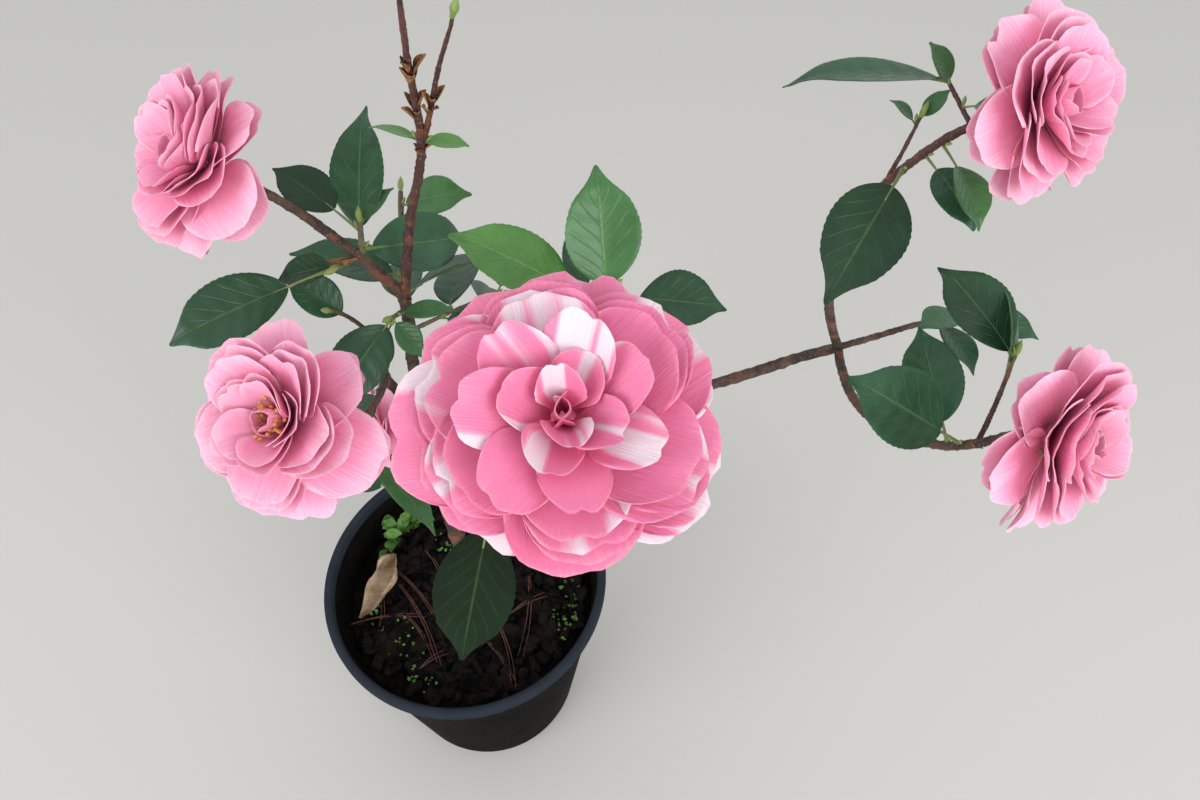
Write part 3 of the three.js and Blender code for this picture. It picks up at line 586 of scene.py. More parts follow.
class Growth:
    """The whole plant's lines and leaves, grown by the rule and kept clear of one another."""

    def __init__(self, reach: dict[str, tuple[Array, Array]]) -> None:
        """Grows the limbs and their leaves, then finer twigs with smaller leaves between them.

        Args:
            reach: the lowest and highest corner of each spray in millimetres, which nothing finer leaves.
        """
        self.reach = reach
        self.lines = grow_lines()
        self.limbs = {**BOUGHS, **TWIGS}
        self.leaves = list(LEAVES)
        self.grown = [leaf.places(self.lines) for leaf in self.leaves]
        for seed, run in enumerate(LEAF_RUNS, start=1):
            self.add_leaves(run, seed)
        for seed, run in enumerate(LEAF_RUNS, start=1):
            self.add_fine_twigs(run, seed)
        LOG.info("%d limbs, %d leaves", len(self.limbs), len(self.leaves))

    def within(self, places: Array, spray: str) -> bool:
        """Whether places lie within a spray's reach."""
        low, high = self.reach[spray]
        return bool((places > low - REACH_MARGIN).all() and (places < high + REACH_MARGIN).all())

    def add_leaves(self, run: LeafRun, seed: int) -> None:
        """Adds the leaves of a run that find room.

        A leaf has room where it is clear of the limbs that it isn't on, of the blooms and of the leaves
        before it, stays above the pot, and is within the reach of its spray.

        Args:
            run: the run.
            seed: the run's own number.
        """
        spray = self.limbs[run.on].spray
        for leaf in ruled_leaves(run, self.lines[run.on], seed):
            places = leaf.places(self.lines)
            others = [line.points for name, line in self.lines.items() if name != leaf.on]
            clear = all(nearest(places, points) > run.spacing for points in others + self.grown)
            clear &= all(
                nearest(places, bloom.centre(self.lines)[None]) > bloom.spread + BLOOM_SPACING
                for bloom in BLOOMS
            )
            clear &= places[:, 2].min() > POT_HEIGHT + run.spacing
            if clear and self.within(places, spray):
                self.leaves.append(leaf)
                self.grown.append(places)

    def add_fine_twigs(self, run: LeafRun, seed: int) -> None:
        """Adds side twigs along a run's limb where they have room, each with a run of small leaves.

        Args:
            run: the run that the side twigs grow among.
            seed: the run's own number.
        """
        line, spray = self.lines[run.on], self.limbs[run.on].spray
        for index in range(run.twigs):
            number = FINE_SEEDS + seed * 20 + index
            first = run.first * 0.6
            at = first + (FINE_LAST - first) * (index + 0.5) / run.twigs
            spin = math.radians(GOLDEN_ANGLE * index + 360 * share(number))
            lean = math.radians(FINE_LEAN + 20 * share(number + 0.5))
            azimuth, rise = angles(lean_off(line.heading(at), spin, lean)[1])
            twig = Limb(
                parent=run.on,
                at=at,
                azimuth=azimuth,
                rise=rise,
                length=FINE_LENGTH * (0.8 + 0.5 * share(number + 0.25)),
                radii=FINE_RADII,
                turn=50 * (share(number + 0.75) - 0.5),
                lift=FINE_LIFT,
                spray=spray,
            )
            grown = Line(twig, line.point(at))
            others = [other.points for name, other in self.lines.items() if name != run.on]
            tip = grown.points[LINE_STEPS // 3 :]
            clear = all(nearest(tip, points) > FINE_CLEARANCE for points in others + self.grown)
            if clear and self.within(tip, spray):
                name = f"{run.on}_twig_{index + 1}"
                self.lines[name], self.limbs[name] = grown, twig
                self.add_leaves(LeafRun(name, FINE_RUN, 0.2, 1, 0, FINE_SIZE, FINE_SPACING), number)


# Meshes from arrays


def make_piece(name: str, points: Array, faces: list[Array], uvs: Array, **marks: Array) -> Piece:
    """A mesh object at the origin from whole arrays.

    Args:
        name: the piece's name.
        points: its corners in millimetres.
        faces: arrays of faces, each with its own number of corners a face.
        uvs: one place on the piece's map for each corner of each face.
        marks: named values for each corner: one number, or three.

    Returns:
        The object, smooth shaded and linked to the scene.
    """
    mesh = bpy.data.meshes.new(name)
    mesh.vertices.add(len(points))
    mesh.vertices.foreach_set("co", (points * MM).astype(np.float32).ravel())
    corners = np.concatenate([group.ravel() for group in faces])
    sizes = np.concatenate([np.full(len(group), group.shape[1]) for group in faces])
    mesh.loops.add(len(corners))
    mesh.loops.foreach_set("vertex_index", corners.astype(np.int32))
    mesh.polygons.add(len(sizes))
    mesh.polygons.foreach_set("loop_start", (np.cumsum(sizes) - sizes).astype(np.int32))
    mesh.uv_layers.new(name="map").data.foreach_set("uv", uvs.astype(np.float32).ravel())
    for mark, values in marks.items():
        kind, slot = ("FLOAT", "value") if values.ndim == 1 else ("FLOAT_VECTOR", "vector")
        attribute = mesh.attributes.new(mark, kind, "POINT")
        attribute.data.foreach_set(slot, values.astype(np.float32).ravel())
    mesh.update(calc_edges=True)
    mesh.validate()
    mesh.shade_smooth()
    piece = bpy.data.objects.new(name, mesh)
    bpy.context.scene.collection.objects.link(piece)
    return piece


def atlas(count: int, u: Array, v: Array, half: int = 0, halves: int = 1) -> Array:
    """Places on a square map that is dealt out in equal cells, one for each of many like surfaces.

    Args:
        count: how many surfaces share the map.
        u: places across each cell, from 0 to 1, for one surface.
        v: places up each cell, from 0 to 1, for one surface.
        half: which strip of the cell this side of the surface has.
        halves: how many strips a cell has.

    Returns:
        An array of surfaces, by the shape of u, by two.
    """
    cells = math.ceil(math.sqrt(count))
    cell = np.arange(count)
    inset = 0.06
    across = (half + inset + (1 - 2 * inset) * u) / halves
    up = inset + (1 - 2 * inset) * v
    shape = (count,) + (1,) * u.ndim
    column = (cell % cells).reshape(shape)
    row = (cell // cells).reshape(shape)
    return np.stack([(column + across) / cells, (row + up) / cells], -1)


def read_points(piece: Piece) -> Array:
    """A piece's corners in millimetres.

    Args:
        piece: the piece.

    Returns:
        Its corners by three.
    """
    points = np.empty(len(piece.data.vertices) * 3, np.float32)
    piece.data.vertices.foreach_get("co", points)
    return points.reshape(-1, 3) / MM


def write_points(piece: Piece, points: Array) -> None:
    """Moves a piece's corners to new places in millimetres."""
    piece.data.vertices.foreach_set("co", (points * MM).astype(np.float32).ravel())
    piece.data.update()


def tube_faces(rows: int, sides: int) -> tuple[Array, Array]:
    """The faces of a closed tube: rings of corners, and after them one point for each end.

    Args:
        rows: how many rings.
        sides: corners in a ring.

    Returns:
        The quads between the rings, and the triangles to both end points.
    """
    grid = np.arange(rows * sides).reshape(rows, sides)
    after = np.roll(grid, -1, 1)
    quads = np.stack([grid[:-1], after[:-1], after[1:], grid[1:]], -1).reshape(-1, 4)
    foot = np.stack([after[0], grid[0], np.full(sides, rows * sides)], -1)
    tip = np.stack([grid[-1], after[-1], np.full(sides, rows * sides + 1)], -1)
    return quads, np.concatenate([foot, tip])


def sharpen(piece: Piece, rim: Array) -> None:
    """Marks the edges between a piece's rim corners as sharp, so that both faces keep their own shade.

    Args:
        piece: the piece.
        rim: whether each corner is on the rim.
    """
    mesh = piece.data
    ends = np.empty(len(mesh.edges) * 2, np.int32)
    mesh.edges.foreach_get("vertices", ends)
    sharp = mesh.attributes.new("sharp_edge", "BOOLEAN", "EDGE")
    sharp.data.foreach_set("value", rim[ends.reshape(-1, 2)].all(1))


def blade_grid(rows: int, columns: int) -> tuple[Array, Array]:
    """Places along and across one blade, closer together near its rim.

    Args:
        rows: how many places along, from 0 at the root to 1 at the tip.
        columns: how many places across, from -1 to 1.

    Returns:
        The places along and across, both rows by columns.
    """
    even = np.linspace(0, 1, rows)
    along = 0.5 * even + 0.25 * (1 - np.cos(math.pi * even))
    across = np.sin(math.pi / 2 * np.linspace(-1, 1, columns))
    return np.meshgrid(along, across, indexing="ij")


def thin_blades(name: str, middle: Array, thickness: float, seeds: Array, **marks: Array) -> Piece:
    """Closed thin blades from their middle surfaces.

    Each face of a blade lies half the thickness off its middle surface, along the normal that the cross
    product of the surface's two gradients gives, and both faces meet in the shared edge.

    Args:
        name: the piece's name.
        middle: blades by rows by columns by three, in millimetres.
        thickness: the blades' thickness in millimetres.
        seeds: a number from 0 to 1 for each blade.
        marks: further values for each blade, row and column.

    Returns:
        One object with every blade, marked with its own across, along and seed.
    """
    count, rows, columns, _ = middle.shape
    normal = unit(np.cross(np.gradient(middle, axis=1), np.gradient(middle, axis=2)))
    index = np.arange(rows * columns).reshape(rows, columns)
    back = index.copy()
    back[1:-1, 1:-1] = rows * columns + np.arange((rows - 2) * (columns - 2)).reshape(rows - 2, columns - 2)

    def quads(grid: Array) -> Array:
        """The quads of a grid of corner numbers."""
        corners = [grid[:-1, :-1], grid[1:, :-1], grid[1:, 1:], grid[:-1, 1:]]
        return np.stack([corner.ravel() for corner in corners], -1)

    faces = np.concatenate([quads(index), quads(back)[:, ::-1]])
    inner = np.zeros((rows, columns, 1))
    inner[1:-1, 1:-1] = 1.0
    front = middle + normal * inner * thickness / 2
    behind = (middle - normal * inner * thickness / 2)[:, 1:-1, 1:-1]
    points = np.concatenate([front.reshape(count, -1, 3), behind.reshape(count, -1, 3)], 1)
    per_blade = points.shape[1]
    faces = faces[None] + (np.arange(count) * per_blade)[:, None, None]

    along, across = blade_grid(rows, columns)
    corner_u, corner_v = quads(across * 0.5 + 0.5), quads(along)
    upper = atlas(count, corner_u, corner_v, 0, 2)
    lower = atlas(count, corner_u[:, ::-1], corner_v[:, ::-1], 1, 2)
    uvs = np.concatenate([upper, lower], 1)

    def both(values: Array) -> Array:
        """A value for each corner of both faces, from one for each row and column."""
        return np.concatenate([values.reshape(count, -1), values[:, 1:-1, 1:-1].reshape(count, -1)], 1)

    shape = (count, rows, columns)
    own = (across, along, seeds[:, None, None])
    blade = np.stack([both(np.broadcast_to(mark, shape)) for mark in own], -1)
    under = np.zeros((count, per_blade))
    under[:, : rows * columns] = inner.reshape(-1)
    values = {mark: both(np.broadcast_to(value, shape)).ravel() for mark, value in marks.items()}
    piece = make_piece(
        name,
        points.reshape(-1, 3),
        [faces.reshape(-1, 4)],
        uvs.reshape(-1, 2),
        blade=blade.reshape(-1, 3),
        under=under.ravel(),
        **values,
    )
    rim = np.zeros((count, per_blade), bool)
    rim[:, : rows * columns] = inner.reshape(-1) == 0
    sharpen(piece, rim.ravel())
    return piece


def rounds(name: str, paths: Array, radii: Array, sides: int, seeds: Array, relief: float = 0.0) -> Piece:
    """Closed round stalks: circles of the given radii carried along paths, with a point at each end.

    The circles stand in the plane of two directions square to the path, taken from the axis that the path
    keeps furthest from, so that they never flip.

    Args:
        name: the piece's name.
        paths: stalks by rows by three, in millimetres.
        radii: stalks by rows.
        sides: corners round a stalk.
        seeds: a number from 0 to 1 for each stalk.
        relief: how far the surface swells and sinks, as a share of the radius.

    Returns:
        One object with every stalk, marked with its own turn, along and seed.
    """
    count, rows, _ = paths.shape
    tangent = unit(np.gradient(paths, axis=1))
    axis = np.eye(3)[np.abs(tangent).max(1).argmin(-1)][:, None]
    side = unit(np.cross(tangent, axis))
    normal = np.cross(side, tangent)
    turn = np.linspace(0, 2 * math.pi, sides, endpoint=False)
    circle = np.cos(turn)[:, None] * side[:, :, None] + np.sin(turn)[:, None] * normal[:, :, None]
    rings = paths[:, :, None] + circle * radii[..., None, None]
    if relief:
        swell = ripple(rings * (1.0, 1.0, 0.45), 9.0, 3.0) + 0.6 * ripple(rings, 3.0, 8.0)
        rings = rings + circle * (swell * relief * radii[..., None])[..., None]
    ends = np.stack([paths[:, 0], paths[:, -1]], 1)
    points = np.concatenate([rings.reshape(count, -1, 3), ends], 1)
    quads, caps = tube_faces(rows, sides)
    offsets = (np.arange(count) * points.shape[1])[:, None, None]

    u = np.broadcast_to(np.arange(sides) / sides, (rows, sides))
    v = np.broadcast_to(np.linspace(0.05, 0.95, rows)[:, None], (rows, sides))
    quad_u = np.stack([u[:-1], u[:-1] + 1 / sides, u[1:] + 1 / sides, u[1:]], -1).reshape(-1, 4)
    quad_v = np.stack([v[:-1], v[:-1], v[1:], v[1:]], -1).reshape(-1, 4)
    low, high = np.full(sides, 0.05), np.full(sides, 0.95)
    cap_u = np.concatenate([np.stack([u[0] + 1 / sides, u[0], u[0] + 0.5 / sides], -1)] * 2)
    cap_v = np.concatenate([np.stack([low, low, low - 0.05], -1), np.stack([high, high, high + 0.05], -1)])
    walls, tips = atlas(count, quad_u, quad_v), atlas(count, cap_u, cap_v)
    uvs = np.concatenate([walls.reshape(-1, 2), tips.reshape(-1, 2)])

    marks = np.zeros((count, points.shape[1], 3))
    marks[:, : rows * sides, 0] = u.ravel()
    marks[:, : rows * sides, 1] = np.repeat(np.linspace(0, 1, rows), sides)
    marks[:, -1, 1] = 1.0
    marks[..., 2] = seeds[:, None]
    return make_piece(
        name,
        points.reshape(-1, 3),
        [(quads + offsets).reshape(-1, 4), (caps + offsets).reshape(-1, 3)],
        uvs,
        blade=marks.reshape(-1, 3),
    )


def turned(name: str, profile: Array, sides: int) -> Piece:
    """A closed shape turned about the upright axis, from its radii and heights in millimetres.

    Args:
        name: the piece's name.
        profile: points by two, from the axis below to the axis above.
        sides: corners round the axis.

    Returns:
        The object.
    """
    turn = np.linspace(0, 2 * math.pi, sides, endpoint=False)
    body = profile[1:-1]
    rows = len(body)
    ring = np.stack([np.cos(turn), np.sin(turn)], -1)
    heights = np.broadcast_to(body[:, None, 1:], (rows, sides, 1))
    rings = np.concatenate([body[:, None, :1] * ring, heights], -1)
    ends = np.array([[0, 0, profile[0, 1]], [0, 0, profile[-1, 1]]])
    points = np.concatenate([rings.reshape(-1, 3), ends])
    quads, caps = tube_faces(rows, sides)
    reach = np.concatenate([[0], np.cumsum(np.linalg.norm(np.diff(profile, axis=0), axis=1))])
    reach = 0.01 + 0.98 * reach / reach[-1]
    u = np.arange(sides) / sides
    v = reach[1:-1]
    bands = (rows - 1, sides)
    lower, upper = np.broadcast_to(v[:-1, None], bands), np.broadcast_to(v[1:, None], bands)
    across = np.broadcast_to(u, bands)
    quad_uv = np.stack(
        [
            np.stack([across, across + 1 / sides, across + 1 / sides, across], -1),
            np.stack([lower, lower, upper, upper], -1),
        ],
        -1,
    )
    cap_uv = np.concatenate(
        [
            np.stack(
                [
                    np.stack([u + 1 / sides, u, u + 0.5 / sides], -1),
                    np.stack([np.full(sides, base), np.full(sides, base), np.full(sides, tip)], -1),
                ],
                -1,
            )
            for base, tip in ((v[0], reach[0]), (v[-1], reach[-1]))
        ]
    )
    uvs = np.concatenate([quad_uv.reshape(-1, 2), cap_uv.reshape(-1, 2)])
    return make_piece(name, points, [quads, caps], uvs)


# Finishes


class Wiring:
    """Puts nodes into a material or a node group and joins their sockets."""

    def __init__(self, tree: bpy.types.NodeTree) -> None:
        """Starts on a node tree."""
        self.tree = tree

    def node(self, kind: str, inputs: dict | None = None, **settings: object) -> bpy.types.Node:
        """A new node.

        Args:
            kind: the node's type name, without its ShaderNode prefix.
            inputs: values or sockets for its inputs, by name or by number.
            settings: its properties.

        Returns:
            The node.
        """
        node = self.tree.nodes.new("ShaderNode" + kind)
        for setting, value in settings.items():
            setattr(node, setting, value)
        for key, value in (inputs or {}).items():
            if isinstance(value, bpy.types.NodeSocket):
                self.tree.links.new(value, node.inputs[key])
            else:
                node.inputs[key].default_value = value
        return node

    def math(self, operation: str, first: object, second: object = 0.0, third: object = 0.0) -> object:
        """The output of a Math node on up to three values or sockets."""
        return self.node("Math", {0: first, 1: second, 2: third}, operation=operation).outputs[0]

    def ramp(self, value: object, low: float, high: float) -> object:
        """A smooth step of a socket from 0 at low to 1 at high."""
        inputs = {0: value, 1: low, 2: high}
        return self.node("MapRange", inputs, interpolation_type="SMOOTHSTEP").outputs[0]

    def shaded(self, colour: object, value: object) -> object:
        """A colour made lighter or darker by a factor."""
        return self.node("HueSaturation", {"Value": value, "Color": colour}).outputs[0]

    def join(self, output: object, socket: object) -> None:
        """Links an output to a socket."""
        self.tree.links.new(output, socket)

    def blend(self, factor: object, first: object, second: object) -> object:
        """A mix of two colours or colour sockets."""
        return self.node("Mix", {0: factor, 6: first, 7: second}, data_type="RGBA").outputs[2]

    def noise(self, vector: object, scale: float, detail: float = 3.0, roughness: float = 0.55) -> object:
        """An uneven field from 0 to 1."""
        inputs = {"Vector": vector, "Scale": scale, "Detail": detail, "Roughness": roughness}
        return self.node("TexNoise", inputs).outputs[0]

    def place(self) -> object:
        """Places in the object's own space."""
        return self.node("TexCoord").outputs["Object"]

    def mark(self, name: str) -> bpy.types.Node:
        """The node that reads one of the mesh's own named values."""
        return self.node("Attribute", attribute_name=name)


Colour = tuple[float, float, float, float]


def mottle_group() -> bpy.types.NodeTree:
    """A node group that mottles a colour: large and small noise mix it with a second one.

    Returns:
        The group, made once.
    """
    name = "Mottle"
    if name in bpy.data.node_groups:
        return bpy.data.node_groups[name]
    group = bpy.data.node_groups.new(name, "ShaderNodeTree")
    for socket, kind in (("First", "Color"), ("Second", "Color"), ("Scale", "Float")):
        group.interface.new_socket(socket, in_out="INPUT", socket_type="NodeSocket" + kind)
    group.interface.new_socket("Color", in_out="OUTPUT", socket_type="NodeSocketColor")
    wire = Wiring(group)
    inlet = group.nodes.new("NodeGroupInput")
    outlet = group.nodes.new("NodeGroupOutput")
    place = wire.place()
    broad = wire.node("TexNoise", {"Vector": place, "Scale": inlet.outputs["Scale"], "Detail": 4.0})
    finer = wire.math("MULTIPLY", inlet.outputs["Scale"], 6.0)
    fine = wire.node("TexNoise", {"Vector": place, "Scale": finer, "Detail": 3.0})
    large = wire.math("MULTIPLY", broad.outputs[0], 0.7)
    small = wire.math("MULTIPLY", fine.outputs[0], 0.3)
    mask = wire.ramp(wire.math("ADD", large, small), 0.38, 0.62)
    wire.join(wire.blend(mask, inlet.outputs["First"], inlet.outputs["Second"]), outlet.inputs["Color"])
    return group


def start_material(name: str, roughness: float) -> tuple[Material, Wiring, bpy.types.Node]:
    """A new material with its shader.

    Args:
        name: the material's name.
        roughness: the shader's own roughness.

    Returns:
        The material, its wiring and its Principled shader.
    """
    material = bpy.data.materials.new(name)
    material.use_nodes = True
    shader = material.node_tree.nodes["Principled BSDF"]
    shader.inputs["Roughness"].default_value = roughness
    return material, Wiring(material.node_tree), shader


def mottled(wire: Wiring, first: Colour, second: Colour, scale: float) -> bpy.types.Node:
    """The mottle group, placed in a material with its own colours and scale.

    Args:
        wire: the material's wiring.
        first: one colour.
        second: the other.
        scale: the noise's scale.

    Returns:
        The group's node.
    """
    node = wire.tree.nodes.new("ShaderNodeGroup")
    node.node_tree = mottle_group()
    node.inputs["First"].default_value = first
    node.inputs["Second"].default_value = second
    node.inputs["Scale"].default_value = scale
    return node


def emboss(wire: Wiring, shader: bpy.types.Node, height: object, distance: float, strength: float) -> None:
    """Feeds a height into the shader's normal through a Bump node."""
    inputs = {"Height": height, "Distance": distance, "Strength": strength}
    wire.join(wire.node("Bump", inputs).outputs[0], shader.inputs["Normal"])


@dataclass(frozen=True)
class LeafFinish:
    """A waxy leaf: greens by tone, pale veins, a few brown specks, and a duller, paler underside."""

    darkest: Colour = (0.003, 0.01, 0.002, 1)
    middle: Colour = (0.027, 0.096, 0.043, 1)
    freshest: Colour = (0.075, 0.2, 0.045, 1)
    rib: Colour = (0.15, 0.27, 0.09, 1)
    beneath: Colour = (0.07, 0.14, 0.045, 1)
    blemish: Colour = (0.12, 0.06, 0.025, 1)
    roughness: float = 0.3
    veins: float = 7.0

    def material(self) -> Material:
        """Makes the material, whose veins follow the leaf's own across and along.

        Returns:
            The material.
        """
        material, wire, shader = start_material("camellia_leaf", self.roughness)
        blade = wire.node("SeparateXYZ", {0: wire.mark("blade").outputs["Vector"]})
        across = wire.math("ABSOLUTE", blade.outputs[0])
        along = blade.outputs[1]
        tone = blade.outputs[2]
        place = wire.place()
        green = wire.blend(wire.ramp(tone, 0.0, 0.5), self.darkest, self.middle)
        green = wire.blend(wire.ramp(tone, 0.5, 1.0), green, self.freshest)
        shade = wire.ramp(wire.noise(place, 34.0), 0.3, 0.7)
        green = wire.shaded(green, wire.math("MULTIPLY_ADD", shade, 0.42, 0.8))
        midrib = wire.math("SUBTRACT", 1.0, wire.ramp(across, 0.012, 0.05))
        step = wire.math("MULTIPLY", along, self.veins)
        slant = wire.math("MULTIPLY_ADD", wire.math("POWER", across, 0.8), -2.4, step)
        wobble = wire.math("MULTIPLY_ADD", wire.noise(place, 90.0), 0.35, slant)
        vein = wire.math("ABSOLUTE", wire.math("SUBTRACT", wire.math("FRACT", wobble), 0.5))
        vein = wire.math("SUBTRACT", 1.0, wire.ramp(vein, 0.0, 0.09))
        vein = wire.math("MULTIPLY", vein, wire.ramp(across, 0.98, 0.6))
        shown = wire.math("MULTIPLY_ADD", tone, 0.45, 0.12)
        mark = wire.math("MAXIMUM", wire.math("MULTIPLY", midrib, shown), wire.math("MULTIPLY", vein, 0.06))
        colour = wire.blend(mark, green, self.rib)
        spots = wire.ramp(wire.noise(place, 52.0, 1.0), 0.77, 0.79)
        colour = wire.blend(spots, colour, self.blemish)
        under = wire.mark("under").outputs["Fac"]
        colour = wire.blend(wire.math("MULTIPLY", under, 0.75), colour, self.beneath)
        wire.join(colour, shader.inputs["Base Color"])
        rough = wire.math("MULTIPLY_ADD", wire.noise(place, 120.0), 0.22, self.roughness - 0.12)
        rough = wire.math("MULTIPLY_ADD", under, 0.2, rough)
        rough = wire.math("ADD", rough, wire.ramp(tone, 0.3, 0.0))
        wire.join(rough, shader.inputs["Roughness"])
        sunk = wire.math("MULTIPLY", vein, -0.5)
        relief = wire.math("MULTIPLY_ADD", wire.noise(place, 600.0, 2.0), 0.35, sunk)
        relief = wire.math("MULTIPLY_ADD", midrib, -0.8, relief)
        emboss(wire, shader, relief, 0.0006, 0.7)
        shader.inputs["IOR"].default_value = 1.4
        return material


@dataclass(frozen=True)
class PetalFinish:
    """A silky petal: pink that deepens towards its root, with white where the bloom is marked."""

    name: str = "camellia_petal"
    pink: Colour = (0.94, 0.26, 0.465, 1)
    deep: Colour = (0.85, 0.15, 0.29, 1)
    pale: Colour = (0.87, 0.67, 0.76, 1)
    edge: Colour = (0.86, 0.42, 0.36, 1)
    roughness: float = 0.5

    def material(self) -> Material:
        """Makes the material, which takes how white each petal is from the mesh's own values.

        Returns:
            The material.
        """
        material, wire, shader = start_material(self.name, self.roughness)
        blade = wire.node("SeparateXYZ", {0: wire.mark("blade").outputs["Vector"]})
        across, along, seed = blade.outputs
        place = wire.place()
        fine, own = wire.math("MULTIPLY", across, 9.0), wire.math("MULTIPLY", seed, 40.0)
        stripes = wire.node("CombineXYZ", {0: fine, 1: along, 2: own})
        lines = wire.noise(stripes.outputs[0], 2.4, 3.0)
        pink = wire.blend(wire.ramp(along, 0.5, 0.05), self.pink, self.deep)
        white = wire.mark("white").outputs["Fac"]
        white = wire.math("ADD", white, wire.math("MULTIPLY", wire.math("SUBTRACT", lines, 0.5), 0.5))
        colour = wire.blend(wire.ramp(white, 0.1, 1.0), pink, self.pale)
        sides = wire.ramp(wire.math("ABSOLUTE", across), 0.95, 1.0)
        rim = wire.math("MAXIMUM", sides, wire.ramp(along, 0.965, 1.0))
        patchy = wire.math("MULTIPLY", wire.ramp(wire.noise(place, 160.0), 0.45, 0.7), 0.5)
        colour = wire.blend(wire.math("MULTIPLY", rim, patchy), colour, self.edge)
        wire.join(colour, shader.inputs["Base Color"])
        relief = wire.math("MULTIPLY_ADD", wire.noise(place, 500.0, 2.0), 0.2, lines)
        emboss(wire, shader, relief, 0.0008, 0.6)
        shader.inputs["Subsurface Weight"].default_value = 0.12
        shader.inputs["Subsurface Radius"].default_value = (1.0, 0.35, 0.4)
        shader.inputs["Subsurface Scale"].default_value = 0.004
        shader.inputs["Specular IOR Level"].default_value = 0.35
        return material


@dataclass(frozen=True)
class BarkFinish:
    """Young bark: two browns mottled together, with reddish patches, fine cracks along the limb, and specks.

    Young is how green its limbs turn towards their tips.
    """

    name: str
    first: Colour
    second: Colour
    patch: Colour = (0.2, 0.06, 0.028, 1)
    tip: Colour = (0.15, 0.15, 0.045, 1)
    young: float = 0.0
    speck: Colour = (0.3, 0.24, 0.17, 1)
    roughness: float = 0.72
    scale: float = 45.0

    def material(self) -> Material:
        """Makes the material: its cracks are drawn out along the object's upright axis, and its young green
        comes in towards the limb's tip by the mesh's own along.

        Returns:
            The material.
        """
        material, wire, shader = start_material(self.name, self.roughness)
        group = mottled(wire, self.first, self.second, self.scale)
        place = wire.place()
        stretch = wire.node("Mapping", {"Vector": place, "Scale": (1.0, 1.0, 0.3)}).outputs[0]
        cracks = wire.noise(stretch, 420.0, 4.0, 0.65)
        specks = wire.ramp(wire.noise(place, 700.0, 1.0), 0.66, 0.72)
        patches = wire.math("MULTIPLY", wire.ramp(wire.noise(place, 75.0, 2.0), 0.56, 0.64), 0.7)
        colour = wire.blend(patches, group.outputs["Color"], self.patch)
        along = wire.node("SeparateXYZ", {0: wire.mark("blade").outputs["Vector"]}).outputs[1]
        colour = wire.blend(wire.math("MULTIPLY", wire.ramp(along, 0.7, 1.0), self.young), colour, self.tip)
        colour = wire.blend(wire.math("MULTIPLY", specks, 0.6), colour, self.speck)
        colour = wire.shaded(colour, wire.math("MULTIPLY_ADD", cracks, 0.9, 0.5))
        wire.join(colour, shader.inputs["Base Color"])
        rough = wire.math("MULTIPLY_ADD", cracks, 0.3, self.roughness - 0.15)
        wire.join(rough, shader.inputs["Roughness"])
        emboss(wire, shader, cracks, 0.002, 0.9)
        return material


@dataclass(frozen=True)
class PlainFinish:
    """A surface of two mottled colours with a grain of its own, which may carry a painted sheen above a
    height: a lighter colour that stands in for a gloss reflection.
    """

    name: str
    first: Colour
    second: Colour
    roughness: float
    scale: float
    grain: float
    depth: float = 0.0006
    ior: float = 1.4
    painted_sheen: Colour | None = None
    sheen_above: float = 0.0

    def material(self) -> Material:
        """Makes the material.

        Returns:
            The material.
        """
        material, wire, shader = start_material(self.name, self.roughness)
        group = mottled(wire, self.first, self.second, self.scale)
        place = wire.place()
        colour = group.outputs["Color"]
        # Painted reflection: above the height the colour turns in noisy patches to the lighter sheen colour,
        # which stands in for the sky's gloss along a lip.
        if self.painted_sheen:
            height = wire.node("SeparateXYZ", {0: place}).outputs[2]
            patchy = wire.math("MULTIPLY_ADD", wire.noise(place, 40.0), 0.5, 0.5)
            edge = wire.ramp(height, self.sheen_above - 0.002, self.sheen_above + 0.002)
            colour = wire.blend(wire.math("MULTIPLY", edge, patchy), colour, self.painted_sheen)
        wire.join(colour, shader.inputs["Base Color"])
        grain = wire.noise(place, self.grain, 4.0, 0.6)
        spread = wire.math("MULTIPLY_ADD", grain, 0.3, self.roughness - 0.15)
        wire.join(spread, shader.inputs["Roughness"])
        emboss(wire, shader, grain, self.depth, 0.7)
        shader.inputs["IOR"].default_value = self.ior
        return material


PINK_PETAL = PetalFinish()
# Painted shade: the large streaked bloom faces the lamps more directly, so its pink, white and edge are a
# darker copy of the side blooms' finish, which would leave it too pale. Its white streaks are its own
# marking.
STREAKED_PETAL_PAINTED_SHADE = PetalFinish(
    name="streaked_petal_painted_shade",
    pink=(0.79, 0.195, 0.36, 1),
    deep=(0.74, 0.12, 0.24, 1),
    pale=(0.77, 0.62, 0.69, 1),
    edge=(0.76, 0.37, 0.31, 1),
)
BROWN_BARK = BarkFinish("brown_bark", (0.022, 0.012, 0.009, 1), (0.1, 0.055, 0.036, 1))
BROWN_TWIG = BarkFinish("brown_twig", (0.03, 0.016, 0.012, 1), (0.11, 0.06, 0.038, 1), young=0.8)
RED_BARK = BarkFinish("red_bark", (0.045, 0.014, 0.012, 1), (0.1, 0.036, 0.026, 1), roughness=0.5)
GREEN_BARK = BarkFinish("green_bark", (0.1, 0.075, 0.04, 1), (0.13, 0.15, 0.06, 1), roughness=0.6)
STALK_GREEN = PlainFinish("leaf_stalk", (0.12, 0.19, 0.06, 1), (0.2, 0.22, 0.08, 1), 0.45, 60.0, 500.0)
BUD_GREEN = PlainFinish("bud_scale", (0.16, 0.26, 0.06, 1), (0.26, 0.3, 0.1, 1), 0.4, 90.0, 500.0)
SEPAL_GREEN = PlainFinish("sepal", (0.09, 0.15, 0.05, 1), (0.2, 0.16, 0.07, 1), 0.5, 90.0, 500.0)
SCALE_BROWN = PlainFinish("brown_scale", (0.1, 0.045, 0.022, 1), (0.32, 0.15, 0.06, 1), 0.45, 120.0, 500.0)
